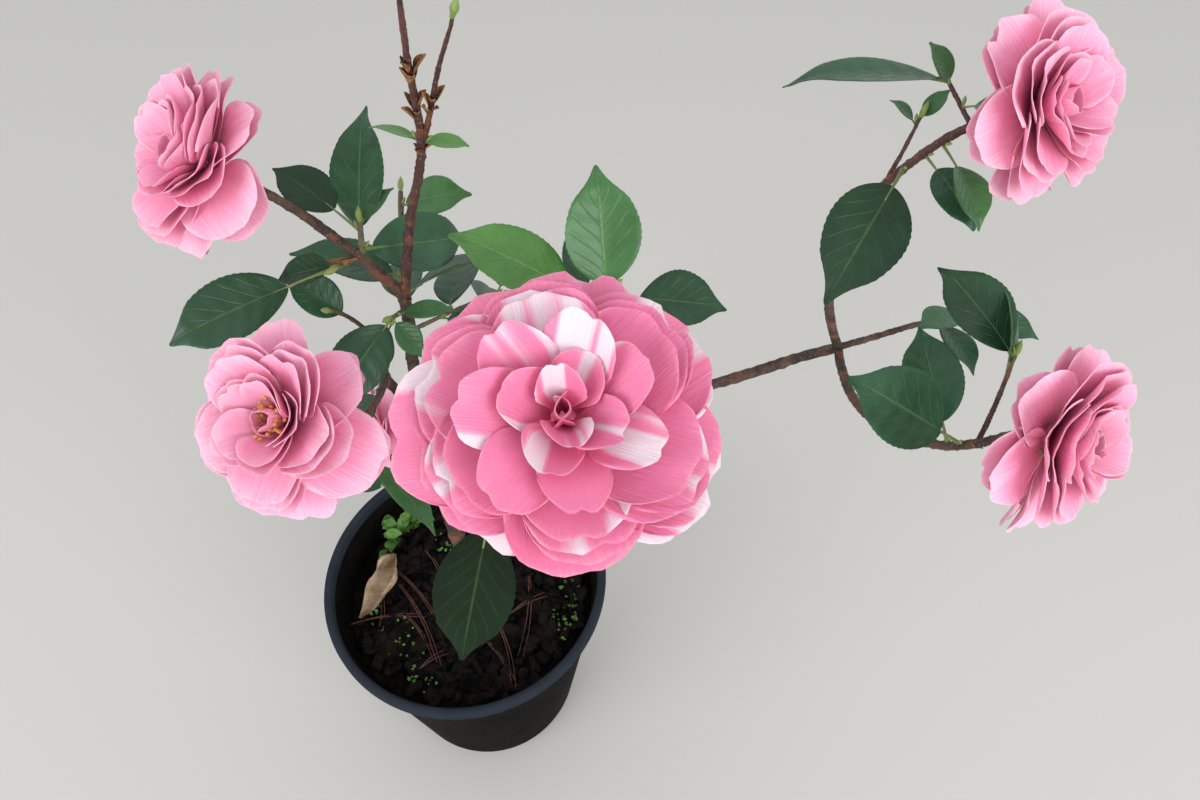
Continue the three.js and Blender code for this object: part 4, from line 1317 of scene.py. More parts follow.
STAMEN_GOLD = PlainFinish("stamen", (0.55, 0.26, 0.08, 1), (0.75, 0.45, 0.14, 1), 0.6, 200.0, 900.0)
POT_BLACK = PlainFinish(
    name="nursery_pot",
    first=(0.004, 0.004, 0.004, 1),
    second=(0.009, 0.008, 0.007, 1),
    roughness=0.42,
    scale=9.0,
    grain=350.0,
    depth=0.0003,
    ior=1.025,
    # painted reflection: the lip's bluish gloss is painted as a lighter colour above this height
    painted_sheen=(0.03, 0.037, 0.05, 1),
    sheen_above=0.264,
)
DARK_MIX = PlainFinish(
    "bark_mix", (0.003, 0.003, 0.003, 1), (0.012, 0.01, 0.008, 1), 0.85, 60.0, 260.0, 0.003, 1.08
)
CHIP_DARK = PlainFinish(
    "bark_chip", (0.004, 0.0035, 0.004, 1), (0.018, 0.013, 0.011, 1), 0.7, 70.0, 420.0, 0.0015, 1.12
)
NEEDLE_RED = PlainFinish("pine_needle", (0.075, 0.03, 0.02, 1), (0.15, 0.065, 0.042, 1), 0.55, 60.0, 600.0)
DRY_LEAF = PlainFinish("dry_leaf", (0.3, 0.19, 0.1, 1), (0.5, 0.38, 0.26, 1), 0.7, 50.0, 300.0, 0.001)
MOSS_GREEN = PlainFinish("moss", (0.05, 0.13, 0.02, 1), (0.14, 0.3, 0.06, 1), 0.6, 120.0, 500.0)


def dress(piece: Piece, material: Material) -> Piece:
    """Gives a piece its material, and lets it ride on the body.

    Args:
        piece: the piece.
        material: its material.

    Returns:
        The piece.
    """
    piece.data.materials.clear()
    piece.data.materials.append(material)
    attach(piece, BODY)
    LOG.info("%s: %d faces", piece.name, len(piece.data.polygons))
    return piece


# Sub-assemblies


@dataclass
class Pot:
    """The round nursery pot: a tapered wall under a rolled lip, with drain holes in its floor."""

    sides: int = 144
    lip_round: float = 4.0
    inner_round: float = 3.5
    step_round: float = 2.0
    foot_round: float = 3.0
    hollow: float = 1.5
    profile_steps: int = 7
    hole_sides: int = 20
    bore_rows: int = 4
    bore_from: float = -9.0
    bore_depth: float = 22.0

    def wall(self, height: float) -> float:
        """The outer radius of the wall at a height."""
        neck = RIM_RADIUS - LIP_WIDTH
        return BASE_RADIUS + (neck - BASE_RADIUS) * height / (POT_HEIGHT - LIP_DEPTH)

    def arc(self, centre: tuple[float, float], radius: float, first: float, last: float) -> Array:
        """Points round part of a circle, in the plane of the profile."""
        turn = np.radians(np.linspace(first, last, self.profile_steps))
        return np.stack([centre[0] + radius * np.cos(turn), centre[1] + radius * np.sin(turn)], -1)

    def profile(self) -> Array:
        """Radii and heights from the middle of the underside, up the wall, over the lip and down inside.

        Returns:
            Points by two.
        """
        lip, within, step, base = self.lip_round, self.inner_round, self.step_round, self.foot_round
        foot, top = POT_HEIGHT - LIP_DEPTH, POT_HEIGHT
        inner = self.wall(top) - POT_WALL
        heights = np.linspace(6, foot - step, 22)
        outside = np.stack([[self.wall(height) for height in heights], heights], -1)
        inside = np.stack([[self.wall(height) - POT_WALL for height in heights[::-1]], heights[::-1]], -1)
        return np.concatenate(
            [
                [[0, self.hollow], [BASE_RADIUS - 22, self.hollow], [BASE_RADIUS - 18, 0]],
                self.arc((BASE_RADIUS - base, base), base, -90, 0),
                outside,
                self.arc((RIM_RADIUS - step, foot + step), step, -90, 0),
                self.arc((RIM_RADIUS - lip, top - lip), lip, 0, 90),
                self.arc((inner + within, top - within), within, 90, 180),
                [[inner - 0.4, foot]],
                inside,
                [[self.wall(POT_WALL) - 8, POT_WALL], [0, POT_WALL]],
            ]
        )

    def build(self) -> None:
        """Turns the pot, bores its drain holes and dresses it."""
        pot = turned("nursery_pot", self.profile(), self.sides)
        spin = np.radians(np.arange(DRAIN_HOLES) * 360 / DRAIN_HOLES)
        low = np.full(DRAIN_HOLES, self.bore_from)
        feet = np.stack([DRAIN_CIRCLE * np.cos(spin), DRAIN_CIRCLE * np.sin(spin), low], -1)
        rise = np.linspace(0, self.bore_depth, self.bore_rows)
        paths = feet[:, None] + rise[:, None] * np.array([0, 0, 1.0])
        radii = np.full((DRAIN_HOLES, self.bore_rows), DRAIN_RADIUS)
        drill = rounds("drill", paths, radii, self.hole_sides, np.zeros(DRAIN_HOLES))
        cut = pot.modifiers.new("drain_holes", "BOOLEAN")
        cut.operation, cut.object, cut.solver = "DIFFERENCE", drill, "EXACT"
        depsgraph = bpy.context.evaluated_depsgraph_get()
        bored = bpy.data.meshes.new_from_object(pot.evaluated_get(depsgraph))
        pot.modifiers.clear()
        pot.data = bored
        bpy.data.objects.remove(drill)
        dress(pot, POT_BLACK.material())
        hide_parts("pot")


@dataclass
class PottingMix:
    """The dark bark mix in the pot, with chips, fallen needles, a dry leaf, moss and seedlings."""

    rings: int = 54
    sides: int = 128
    lumps: float = 3.4
    chips: int = 520
    edge_gap: float = POT_WALL + 2 * SEAT_GAP

    def radius(self) -> float:
        """How wide the mix is at its top."""
        return Pot().wall(SOIL_TOP) - self.edge_gap

    def height(self, places: Array) -> Array:
        """How high the mix stands at level places, in millimetres."""
        flat = np.concatenate([places[..., :2], np.zeros(places.shape[:-1] + (1,))], -1)
        return SOIL_TOP + self.lumps * (0.7 * ripple(flat, 46.0, 21.0) + 0.5 * ripple(flat, 13.0, 33.0))

    def surface(self) -> Piece:
        """The mix itself: a turned plug whose top is lifted by the uneven field of its height.

        Returns:
            The object.
        """
        reach, foot = self.radius(), POT_WALL + SEAT_GAP
        top = np.stack([np.linspace(reach, 0, self.rings), np.full(self.rings, SOIL_TOP)], -1)
        base = [[0, foot], [Pot().wall(foot) - self.edge_gap - 4, foot], [reach, SOIL_TOP - 9]]
        plug = turned("potting_mix_top", np.concatenate([base, top]), self.sides)
        points = read_points(plug)
        upper = points[:, 2] > SOIL_TOP - 5
        points[upper, 2] = self.height(points[upper])
        write_points(plug, points)
        return plug

    def bark_chips(self) -> Piece:
        """Flat chips of bark strewn over the mix: squared balls of uneven size, turned every way.

        Returns:
            The object.
        """
        numbers = np.arange(self.chips)
        shares = np.array([[share(n * 7 + k) for k in range(8)] for n in numbers])
        far = (self.radius() - 9) * np.sqrt(shares[:, 0])
        turn = 2 * math.pi * shares[:, 1]
        centre = np.stack([far * np.cos(turn), far * np.sin(turn), np.zeros(self.chips)], -1)
        centre[:, 2] = self.height(centre) + 0.5 + 2.2 * shares[:, 2]
        size = np.stack([5 + 9 * shares[:, 3], 3 + 5 * shares[:, 4], 1.2 + 1.8 * shares[:, 5]], -1)
        long_axis = heading(360 * shares[:, 6], 34 * (shares[:, 7] - 0.5))
        rows, sides = 7, 10
        up = np.linspace(-1, 1, rows)
        ring = np.sqrt(np.clip(1 - np.abs(up) ** 3, 0.02, 1))
        paths = centre[:, None] + (up * 0.5)[:, None] * long_axis[:, None] * size[:, :1, None] * 2
        chips = rounds("bark_chips", paths, size[:, 1:2] * ring, sides, shares[:, 5])
        points = read_points(chips).reshape(self.chips, -1, 3)
        side, normal = square_to(long_axis)
        rolled = unit(normal + side * (shares[:, 4:5] - 0.5))
        offset = points - centre[:, None]
        depth = (offset * rolled[:, None]).sum(-1, keepdims=True)
        flat = 1 - size[:, 2:3, None] / size[:, 1:2, None]
        points = points - rolled[:, None] * depth * flat
        points += unit(offset) * 1.1 * ripple(points, 7.0, 5.0)[..., None]
        write_points(chips, points)
        return chips

    def needles(self) -> Piece:
        """Fallen pine needles: thin bowed stalks that lie over the mix, most in pairs.

        Returns:
            The object.
        """
        starts = np.array([p[0] for p in NEEDLES], float)
        ends = np.array([p[1] for p in NEEDLES], float)
        starts = np.concatenate([starts, starts + (1.5, 1.0)])
        ends = np.concatenate([ends, ends + (5.0, -4.0)])
        t = np.linspace(0, 1, 14)[:, None]
        flat = starts[:, None] * (1 - t) + ends[:, None] * t
        run = ends - starts
        bow = np.stack([-run[:, 1], run[:, 0]], -1)[:, None] * np.sin(math.pi * t) * 0.05
        places = np.concatenate([flat + bow, np.zeros(flat.shape[:-1] + (1,))], -1)
        places[..., 2] = self.height(places).max(1, keepdims=True) + 3.2 + 1.5 * np.sin(math.pi * t[:, 0])
        radii = np.broadcast_to(0.65 - 0.3 * t[:, 0], flat.shape[:-1])
        return rounds("pine_needles", places, radii, 6, np.linspace(0, 1, len(starts)))

    def dry_leaf(self) -> Piece:
        """One pale dry leaf: a blade that rolls up more and more along its length, bowed and crumpled.

        Returns:
            The object.
        """
        length, width = 72, 17
        u, v = blade_grid(40, 23)
        half = width * np.sin(math.pi * np.clip(u, 0.02, 0.98)) ** 0.6 * (1 + 0.2 * np.sin(11 * u + 2 * v))
        roll = (1.0 + 1.7 * u) * v + 0.5 * np.sin(5 * u)
        x = half * np.sin(roll) / 1.3 + 7 * np.sin(3.4 * u)
        z = 11 * (1 - np.cos(roll)) * half / width + 7 * np.sin(3.0 * u)
        root = np.array([-112.0, -26.0, SOIL_TOP + 6.0])
        middle = root + (length * u)[..., None] * heading(66, 6) + x[..., None] * heading(-24, 0)
        middle[..., 2] += z
        middle = middle + 1.6 * ripple(middle, 11.0, 4.0)[..., None] * np.array([0.4, 0.4, 1.0])
        return thin_blades("dry_leaf", middle[None], 0.7, np.array([0.5]))

    def greens(self, name: str, spots: tuple, spread: float, count: int, length: float, rise: float) -> Piece:
        """Tufts of tiny round leaves: short blades that fan out at every azimuth from each spot.

        Args:
            name: the piece's name.
            spots: level places of the tufts.
            spread: how far from its spot a leaf may root, in millimetres.
            count: leaves at each spot.
            length: length of a leaf in millimetres.
            rise: how high the leaves stand over the mix in millimetres.

        Returns:
            The object.
        """
        numbers = np.arange(len(spots) * count)
        shares = np.array([[share(n * 5 + k + length) for k in range(6)] for n in numbers])
        turn, far = 2 * math.pi * shares[:, 0], spread * np.sqrt(shares[:, 1])
        root = np.repeat(np.array(spots, float), count, 0)
        root = root + np.stack([far * np.cos(turn), far * np.sin(turn)], -1)
        root = np.concatenate([root, np.zeros((len(root), 1))], -1)
        reach = np.linalg.norm(root[:, :2], axis=1, keepdims=True)
        root[:, :2] *= np.minimum(1, (self.radius() - 6 - length * 0.6) / reach)
        root[:, 2] = self.height(root) + rise * shares[:, 2]
        along = heading(360 * shares[:, 3], 10 + 30 * shares[:, 4])
        side, normal = square_to(along)
        u, v = blade_grid(7, 5)
        half = 0.36 * np.sin(math.pi * np.clip(u, 0.06, 0.96)) ** 0.8
        size = (length * (0.6 + 0.6 * shares[:, 5]))[:, None, None, None]
        middle = root[:, None, None] + size * (
            u[..., None] * along[:, None, None]
            + (half * v)[..., None] * side[:, None, None]
            + (0.12 * v * v - 0.2 * u * u)[..., None] * normal[:, None, None]
        )
        return thin_blades(name, middle, 0.35, shares[:, 5])

    def build(self) -> None:
        """Builds the mix and what lies and grows on it."""
        top = dress(self.surface(), DARK_MIX.material())
        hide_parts("potting_mix")
        dress(self.bark_chips(), CHIP_DARK.material())
        dress(self.needles(), NEEDLE_RED.material())
        dress(self.dry_leaf(), DRY_LEAF.material())
        moss = MOSS_GREEN.material()
        tufts = self.greens("moss", MOSS_SPOTS, spread=17, count=26, length=4.0, rise=4.0)
        dress(tufts, moss)
        plants = self.greens("seedlings", SEEDLING_SPOTS, spread=15, count=9, length=18.0, rise=36.0)
        dress(plants, moss)


NEEDLES = (
    ((-84, 27), (-30, -36)),
    ((-122, -34), (-50, -22)),
    ((-82, 15), (-28, -73)),
    ((-70, -20), (-33, -68)),
    ((-55, 50), (-35, 18)),
    ((-45, -80), (-22, -60)),
    ((32, -38), (47, -95)),
    ((20, -52), (48, -92)),
    ((58, 20), (52, -66)),
    ((41, -22), (76, 2)),
    ((-96, 4), (-92, -44)),
    ((6, 62), (70, 40)),
    ((-20, 84), (30, 96)),
)
MOSS_SPOTS = (
    (-72, -38),
    (-59, -62),
    (-40, -84),
    (98, -20),
    (88, -34),
    (104, 2),
    (-90, -24),
    (30, 88),
    (-30, 60),
)
SEEDLING_SPOTS = ((-84, 78), (-74, 92), (-92, 62))


@dataclass
class Foliage:
    """The leaves of one spray, with their stalks and the buds in their axils."""

    spray: str
    leaves: list[Leaf]
    lines: dict[str, Line]
    tips: list[str]
    rows: int = 45
    columns: int = 11
    thickness: float = 0.55
    droop: float = -16.0
    uneven_droop: float = 14.0
    fold: float = 0.22
    tooth: float = 0.022
    twist: float = 16.0
    stalk_rows: int = 10
    bud: float = 6.5
    end_bud: float = 11.5

    def blades(self) -> Piece:
        """The blades.

        Across, a blade is as wide as a power of a sine of its length, drawn out to a tip and toothed at its
        edge. It bends evenly down along an arc, folds up from its midrib by a hyperbola that is round in
        the fold, and waves a little at its edges.

        Returns:
            The object.
        """
        frames = [leaf.frame(self.lines) for leaf in self.leaves]
        root, along, side, normal = (np.array(part)[:, None, None] for part in zip(*frames))
        numbers = np.array([leaf.length + leaf.at * 31 + leaf.azimuth for leaf in self.leaves])
        chance = np.array([[share(number + k) for k in range(5)] for number in numbers])
        column = [chance[:, k, None, None] - 0.5 for k in range(5)]
        stalk = np.array([leaf.stalk for leaf in self.leaves])[:, None, None]
        length = np.array([leaf.length for leaf in self.leaves])[:, None, None]
        half = length * np.array([leaf.width for leaf in self.leaves])[:, None, None] / 2
        u, v = blade_grid(self.rows, self.columns)
        outline = np.sin(math.pi * u ** (0.86 + 0.1 * column[0])) ** 0.78
        outline = outline * (1 - 0.5 * smooth(0.72, 0.97, u)) + 0.02
        every_other = (np.arange(self.rows) % 2)[:, None]
        teeth = 1 - self.tooth * every_other * smooth(0.12, 0.3, u) * (np.abs(v) > 0.99)
        aside = half * outline * v * teeth
        bend = np.radians(self.droop + self.uneven_droop * column[1])
        reach = (stalk + length * u) / (stalk + length)
        total = stalk + length
        ahead = total * np.sin(bend * reach) / bend
        drop = total * (1 - np.cos(bend * reach)) / bend
        fold = self.fold * (1 + 0.5 * column[2])
        swell = 0.02 * half * np.cos(2 * math.pi * (6.5 * u - 1.1 * np.abs(v))) * np.sin(math.pi * np.abs(v))
        rise = fold * (np.sqrt(aside**2 + 1.2) - 1.1)
        wave = 0.045 * half * np.abs(v) ** 1.5 * np.sin(7 * u + 9 * column[3] + 1.5 * v)
        twist = np.radians(self.twist * column[4]) * u
        out = rise + wave + swell
        aside, out = aside * np.cos(twist) - out * np.sin(twist), aside * np.sin(twist) + out * np.cos(twist)
        tip = -0.05 * length * smooth(0.75, 1.0, u) ** 2
        middle = root + along * ahead[..., None] + side * aside[..., None]
        middle = middle + normal * (drop + out + tip)[..., None]
        tones = np.array([leaf.tone.value for leaf in self.leaves]) * 0.9 + 0.1 * chance[:, 0]
        return thin_blades(f"{self.spray}_leaves", middle, self.thickness, tones)

    def stalks(self) -> Piece:
        """The stalks: from each limb's own line along the arc of the leaf into the foot of its blade.

        Returns:
            The object.
        """
        frames = [leaf.frame(self.lines) for leaf in self.leaves]
        root, along, _, normal = (np.array(part)[:, None] for part in zip(*frames))
        stalk = np.array([leaf.stalk for leaf in self.leaves])[:, None]
        length = np.array([leaf.length for leaf in self.leaves])[:, None]
        share_along = np.linspace(0, 1, self.stalk_rows) * (stalk + 0.14 * length) / (stalk + length)
        bend = math.radians(self.droop)
        total = stalk + length
        ahead = total * np.sin(bend * share_along) / bend
        drop = total * (1 - np.cos(bend * share_along)) / bend - 0.35
        paths = root + along * ahead[..., None] + normal * drop[..., None]
        radii = (0.45 + length / 90) * np.linspace(1.15, 0.45, self.stalk_rows)
        return rounds(f"{self.spray}_stalks", paths, radii, 8, np.linspace(0, 1, len(self.leaves)))

    def buds(self) -> Piece:
        """The buds: pointed spindles that lean on each stalk, and larger ones at the twigs' own tips.

        Returns:
            The object.
        """
        frames = [leaf.frame(self.lines) for leaf in self.leaves]
        root, along, _, normal = (np.array(part) for part in zip(*frames))
        headings = np.array([self.lines[leaf.on].heading(leaf.at) for leaf in self.leaves])
        lean = unit(along + headings * 1.1 + normal * 0.2)
        off = np.array([self.lines[leaf.on].radius(leaf.at) for leaf in self.leaves])[:, None]
        start = root + unit(along + headings * 0.3) * off * 0.6
        size = np.full(len(start), self.bud)
        if self.tips:
            ends = [self.lines[name] for name in self.tips]
            start = np.concatenate([start, [line.point(1.0) - 1.5 * line.heading(1.0) for line in ends]])
            lean = np.concatenate([lean, [line.heading(1.0) for line in ends]])
            size = np.concatenate([size, np.full(len(ends), self.end_bud)])
        t = np.linspace(0, 1, 11)
        paths = start[:, None] + lean[:, None] * (t * size[:, None])[..., None]
        radii = 0.185 * size[:, None] * np.sin(math.pi * np.clip(t, 0.16, 0.97)) ** 0.8
        return rounds(f"{self.spray}_buds", paths, radii, 8, np.linspace(0, 1, len(start)))

    def build(self, leaf: Material, stalk: Material, bud: Material) -> None:
        """Builds and dresses the leaves, their stalks and their buds.

        Args:
            leaf: the blades' material.
            stalk: the stalks' material.
            bud: the buds' material.
        """
        dress(self.blades(), leaf)
        dress(self.stalks(), stalk)
        dress(self.buds(), bud)


@dataclass
class Flower:
    """One bloom: its petals, its core, its sepals and, where they show, its stamens."""

    spray: str
    bloom: Bloom
    lines: dict[str, Line]
    seed: int
    rows: int = 23
    columns: int = 17
    thickness: float = 0.45
    layer_turn: float = 13.0
    layer_tilt: float = 7.5
    overlap: float = 10.0
    sag: float = 22.0
    layer_sink: float = 0.9
    shorter: float = 0.8
    notch: tuple[float, float] = (0.09, 0.17)
    least_bend: float = 0.02
    uneven_tilt: float = 10.0
    uneven_bend: float = 8.0
    sepal_count: int = 9
    inner_sepals: int = 4
    stamen_lean: float = 32.0

    def petal_rows(self) -> list[tuple[Whorl, float, float, float, float, int]]:
        """Sets out the petals, ring by ring.

        Returns:
            Each petal's whorl, turn and tilt in radians, size, the number of its chances, and layer.
        """
        level, lean = square_to(self.bloom.axis())
        rows = []
        for ring, whorl in enumerate(self.bloom.whorls):
            for petal in range(whorl.petals):
                number = self.seed * 100 + ring * 12 + petal
                for layer in range(whorl.layers):
                    chance = number + 0.37 * layer
                    swing = self.layer_turn * (share(chance + 0.6) - 0.5) * min(layer, 1)
                    spin = whorl.spin + 360 * (petal + PETAL_UNEVEN * share(number)) / whorl.petals + swing
                    turn = math.radians(spin)
                    low = -(level * math.cos(turn) + lean * math.sin(turn))[2]
                    tilt = whorl.tilt + self.uneven_tilt * (share(number + 0.5) - 0.5)
                    tilt += self.layer_tilt * layer
                    tilt += self.sag * low * whorl.tilt / 90
                    size = (1 - PETAL_UNEVEN * share(number + 0.25)) * (1 + whorl.longer * layer)
                    if ring == 0 and petal in self.bloom.short:
                        size *= self.shorter
                    rows.append((whorl, turn, math.radians(tilt), size, chance, layer))
        return rows

    def petals(self) -> Piece:
        """The petals.

        A petal widens as a sine from its narrow root and keeps its width to the end, which is rounded off
        by a superellipse and a little notched. It bends evenly along an arc towards the bloom's axis, is
        cupped as a parabola across, its free edge is ruffled by two sines, and crossing sines wave it all
        over a little.

        Returns:
            The object, marked with how white each petal is.
        """
        axis = self.bloom.axis()
        centre = self.bloom.centre(self.lines)
        rows = self.petal_rows()
        whorls = [row[0] for row in rows]
        spin, tilt, size, number, layer = (np.array([row[k] for row in rows], float) for k in range(1, 6))
        length, breadth, cup, curl, bend, out_by, sink, white = (
            np.array([getattr(whorl, name) for whorl in whorls], float)
            for name in ("length", "width", "cup", "curl", "bend", "out", "sink", "white")
        )
        outward, along, inward = fan_out(axis, spin, tilt)
        side = np.cross(along, inward)
        root = centre + outward * out_by[:, None] - axis * (sink + self.layer_sink * layer)[:, None]
        chance = np.array([[share(n * 3.7 + k) for k in range(8)] for n in number])
        part = [chance[:, k, None, None] for k in range(8)]
        u, v = blade_grid(self.rows, self.columns)
        length = (length * size)[:, None, None]
        half = (breadth * size / 2)[:, None, None]
        bend = np.radians(bend + self.uneven_bend * (chance[:, 0] - 0.5))[:, None, None]
        bend = np.where(np.abs(bend) < self.least_bend, self.least_bend, bend)
        spread = 0.16 + 0.84 * np.sin(math.pi / 2 * np.minimum(u / 0.62, 1)) ** 1.1
        rounded = 1 - (1 - np.minimum(np.abs(v), 1) ** 2.4) ** (1 / 2.1)
        depth, width = self.notch
        notch = depth * part[2] * np.exp(-(((v - 0.5 * (part[3] - 0.5)) / width) ** 2))
        reach = u * (1 - (0.4 + 0.08 * part[1]) * rounded * u**1.6 - notch * u**8)
        reach = reach * (1 + 0.016 * np.sin(9 * v + 20 * part[4]) * u**6)
        ahead = length * np.sin(bend * reach) / bend
        out = length * (1 - np.cos(bend * reach)) / bend
        out = out + curl[:, None, None] * length * smooth(0.5, 1.0, reach) ** 1.5
        aside = half * spread * v
        out = out + cup[:, None, None] * half * spread * v * v * 1.3
        ruffle = np.sin(2.9 * v + 6 * part[5]) * (0.35 + 0.65 * np.abs(v))
        ruffle = ruffle + 0.4 * np.sin(6.5 * v + 9 * part[6])
        out = out + 0.05 * self.bloom.ruffle * half * reach**3 * ruffle * (0.6 + part[7])
        out = out + 0.05 * half * np.abs(v) ** 3 * np.sin(5.5 * u + 7 * part[5])
        out = out + 0.028 * half * reach * np.sin(7 * v + 10 * part[6] + 2 * u) * np.sin(5 * u + 6 * part[2])
        twist = np.radians(self.overlap + 10 * (part[3] - 0.5) * u)
        out = out + np.tan(twist) * aside
        middle = (
            root[:, None, None]
            + along[:, None, None] * ahead[..., None]
            + side[:, None, None] * aside[..., None]
            + inward[:, None, None] * out[..., None]
        )
        streak = np.sin(2.2 * v + 12 * part[0]) + 0.5 * np.sin(5.1 * v + 9 * part[1])
        streak = streak + 0.3 * np.sin(11 * v + 8 * part[2])
        marked = smooth(0.2, 0.75, streak - 1.3 + 1.5 * part[4] + white[:, None, None])
        marked = marked * smooth(0.12, 0.55, u)
        even = 0.05 + 0.16 * smooth(0.7, 1.0, np.maximum(u, np.abs(v) * 0.98)) + 0.1 * part[4]
        pale = even + 0.28 + (0.9 * marked - 0.33) * self.bloom.marking.value
        return thin_blades(f"{self.spray}_petals", middle, self.thickness, chance[:, 5], white=pale)

    def core(self) -> Piece:
        """The round core that the petals stand out of.

        Returns:
            The object.
        """
        axis, centre, core = self.bloom.axis(), self.bloom.centre(self.lines), self.bloom.core
        t = np.linspace(0, 1, 14)
        paths = centre + (-0.9 + 1.0 * t)[:, None] * core * axis
        radii = 0.55 * core * np.sin(math.pi * np.clip(t, 0.04, 0.96)) ** 0.7
        return rounds(f"{self.spray}_core", paths[None], radii[None], 20, np.array([0.5]))

    def cup(self) -> Piece:
        """The green cup that widens from the limb's tip to the core.

        Returns:
            The object.
        """
        axis, centre, core = self.bloom.axis(), self.bloom.centre(self.lines), self.bloom.core
        t = np.linspace(0, 1, 10)
        paths = centre - (core + CUP_DEPTH) * axis + (core * 0.8 * t)[:, None] * axis
        radii = CUP_FOOT + (core * 0.6 - CUP_FOOT) * smooth(0.0, 1.0, t)
        return rounds(f"{self.spray}_cup", paths[None], radii[None], 20, np.array([0.5]))

    def sepals(self) -> Piece:
        """The sepals: short round blades in two rings that clasp the bloom from behind.

        Returns:
            The object.
        """
        axis, core = self.bloom.axis(), self.bloom.core
        foot = self.bloom.centre(self.lines) - axis * (core + CUP_DEPTH - 1)
        numbers = np.arange(self.sepal_count)
        inner = numbers < self.inner_sepals
        spin = np.radians(numbers * 360 / 5 * 1.03 + 20 * self.seed)
        tilt = np.radians(np.where(inner, 38, 52))
        size = np.where(inner, 12.0, 17.0) * core / 11
        outward, along, inward = fan_out(axis, spin, tilt)
        side = np.cross(along, inward)
        u, v = blade_grid(12, 9)
        half = 0.42 * np.sin(math.pi * np.clip(u, 0.08, 0.96)) ** 0.6
        out = 0.3 * u * u + 0.35 * half * v * v
        middle = foot + outward[:, None, None] * 2.2 + size[:, None, None, None] * (
            along[:, None, None] * u[..., None]
            + side[:, None, None] * (half * v)[..., None]
            + inward[:, None, None] * out[..., None]
        )
        return thin_blades(f"{self.spray}_sepals", middle, 1.0, np.linspace(0, 1, self.sepal_count))

    def stamens(self) -> Piece:
        """The stamens: thin stalks in a loose bundle, each swelling into a pollen tip.

        Returns:
            The object.
        """
        axis, core = self.bloom.axis(), self.bloom.core
        numbers = np.arange(self.bloom.stamens)
        shares = np.array([[share(n * 3 + k + self.seed) for k in range(3)] for n in numbers])
        spin = 2 * math.pi * shares[:, 0]
        outward, along, _ = fan_out(axis, spin, np.radians(self.stamen_lean * np.sqrt(shares[:, 1])))
        t = np.linspace(0, 1, 12)
        reach = 11 + 6 * shares[:, 2]
        start = self.bloom.centre(self.lines) + axis * core * 0.3 + outward * 3
        paths = start[:, None] + along[:, None] * (reach[:, None] * t)[..., None]
        radii = 0.4 + 0.75 * smooth(0.8, 0.88, t) * (1 - smooth(0.94, 1.02, t))
        radii = np.broadcast_to(radii, paths.shape[:2])
        return rounds(f"{self.spray}_stamens", paths, radii, 6, shares[:, 2])

    def build(self, finishes: dict[str, Material]) -> None:
        """Builds and dresses the bloom.

        Args:
            finishes: the materials by name.
        """
        petal = finishes[self.bloom.marking.name.lower()]
        dress(self.petals(), petal)
        dress(self.core(), petal)
        dress(self.cup(), finishes["sepal"])
        dress(self.sepals(), finishes["sepal"])
        if self.bloom.stamens:
            dress(self.stamens(), finishes["stamen"])


LIMB_ROWS = 72
BOW = 0.5
BOW_LENGTH = 14.0
NODE_SPACING = 21.0
NODE_SWELL = 0.13
BARK_RELIEF = 0.14


def limb_piece(name: str, spans: list[tuple[Line, float, float]], sides: int) -> Piece:
    """Limbs with their bark's relief: circles carried along the lines, with a swelling at each node.

    Args:
        name: the piece's name.
        spans: lines, each with the shares of its length where it starts and ends.
        sides: corners round a limb.

    Returns:
        One object with every limb.
    """
    paths, radii = [], []
    for line, first, last in spans:
        at = np.linspace(first, last, LIMB_ROWS)
        bow = BOW * np.sin(at[:, None] * line.limb.length / BOW_LENGTH + np.array([0.0, 2.0, 4.0]))
        fade = smooth(0.0, 0.08, at) * smooth(1.0, 0.92, at)
        paths.append(line.point(at) + bow * fade[:, None])
        knots = np.cos(at * line.limb.length * 2 * math.pi / NODE_SPACING) ** 24
        radii.append(line.radius(at) * (1 + NODE_SWELL * knots * smooth(0.03, 0.1, at)))
    seeds = np.linspace(0, 1, len(spans))
    return rounds(name, np.array(paths), np.array(radii), sides, seeds, BARK_RELIEF)


@dataclass(frozen=True)
class ScaleMark:
    """A tuft of dry scales on a limb: where it starts, how many and how long they are, and their step."""

    on: str
    at: float
    count: int
    length: float
    step: float = 0.004


SCALE_MARKS = (
    ScaleMark("sprout", 0.95, 8, 6),
    ScaleMark("sprout", 0.4, 3, 4),
    ScaleMark("sprout_left", 0.2, 5, 11, 0.02),
    ScaleMark("sprout_left", 0.42, 6, 12, 0.016),
    ScaleMark("sprout_right", 0.3, 6, 11, 0.02),
    ScaleMark("left_bough", 0.29, 6, 6),
    ScaleMark("left_bough", 0.93, 4, 5),
    ScaleMark("side_spur", 0.25, 2, 14, 0.1),
    ScaleMark("centre_bough", 0.97, 5, 6),
    ScaleMark("right_upper_bough", 0.63, 5, 5),
    ScaleMark("right_lower_bough", 0.84, 5, 5),
)


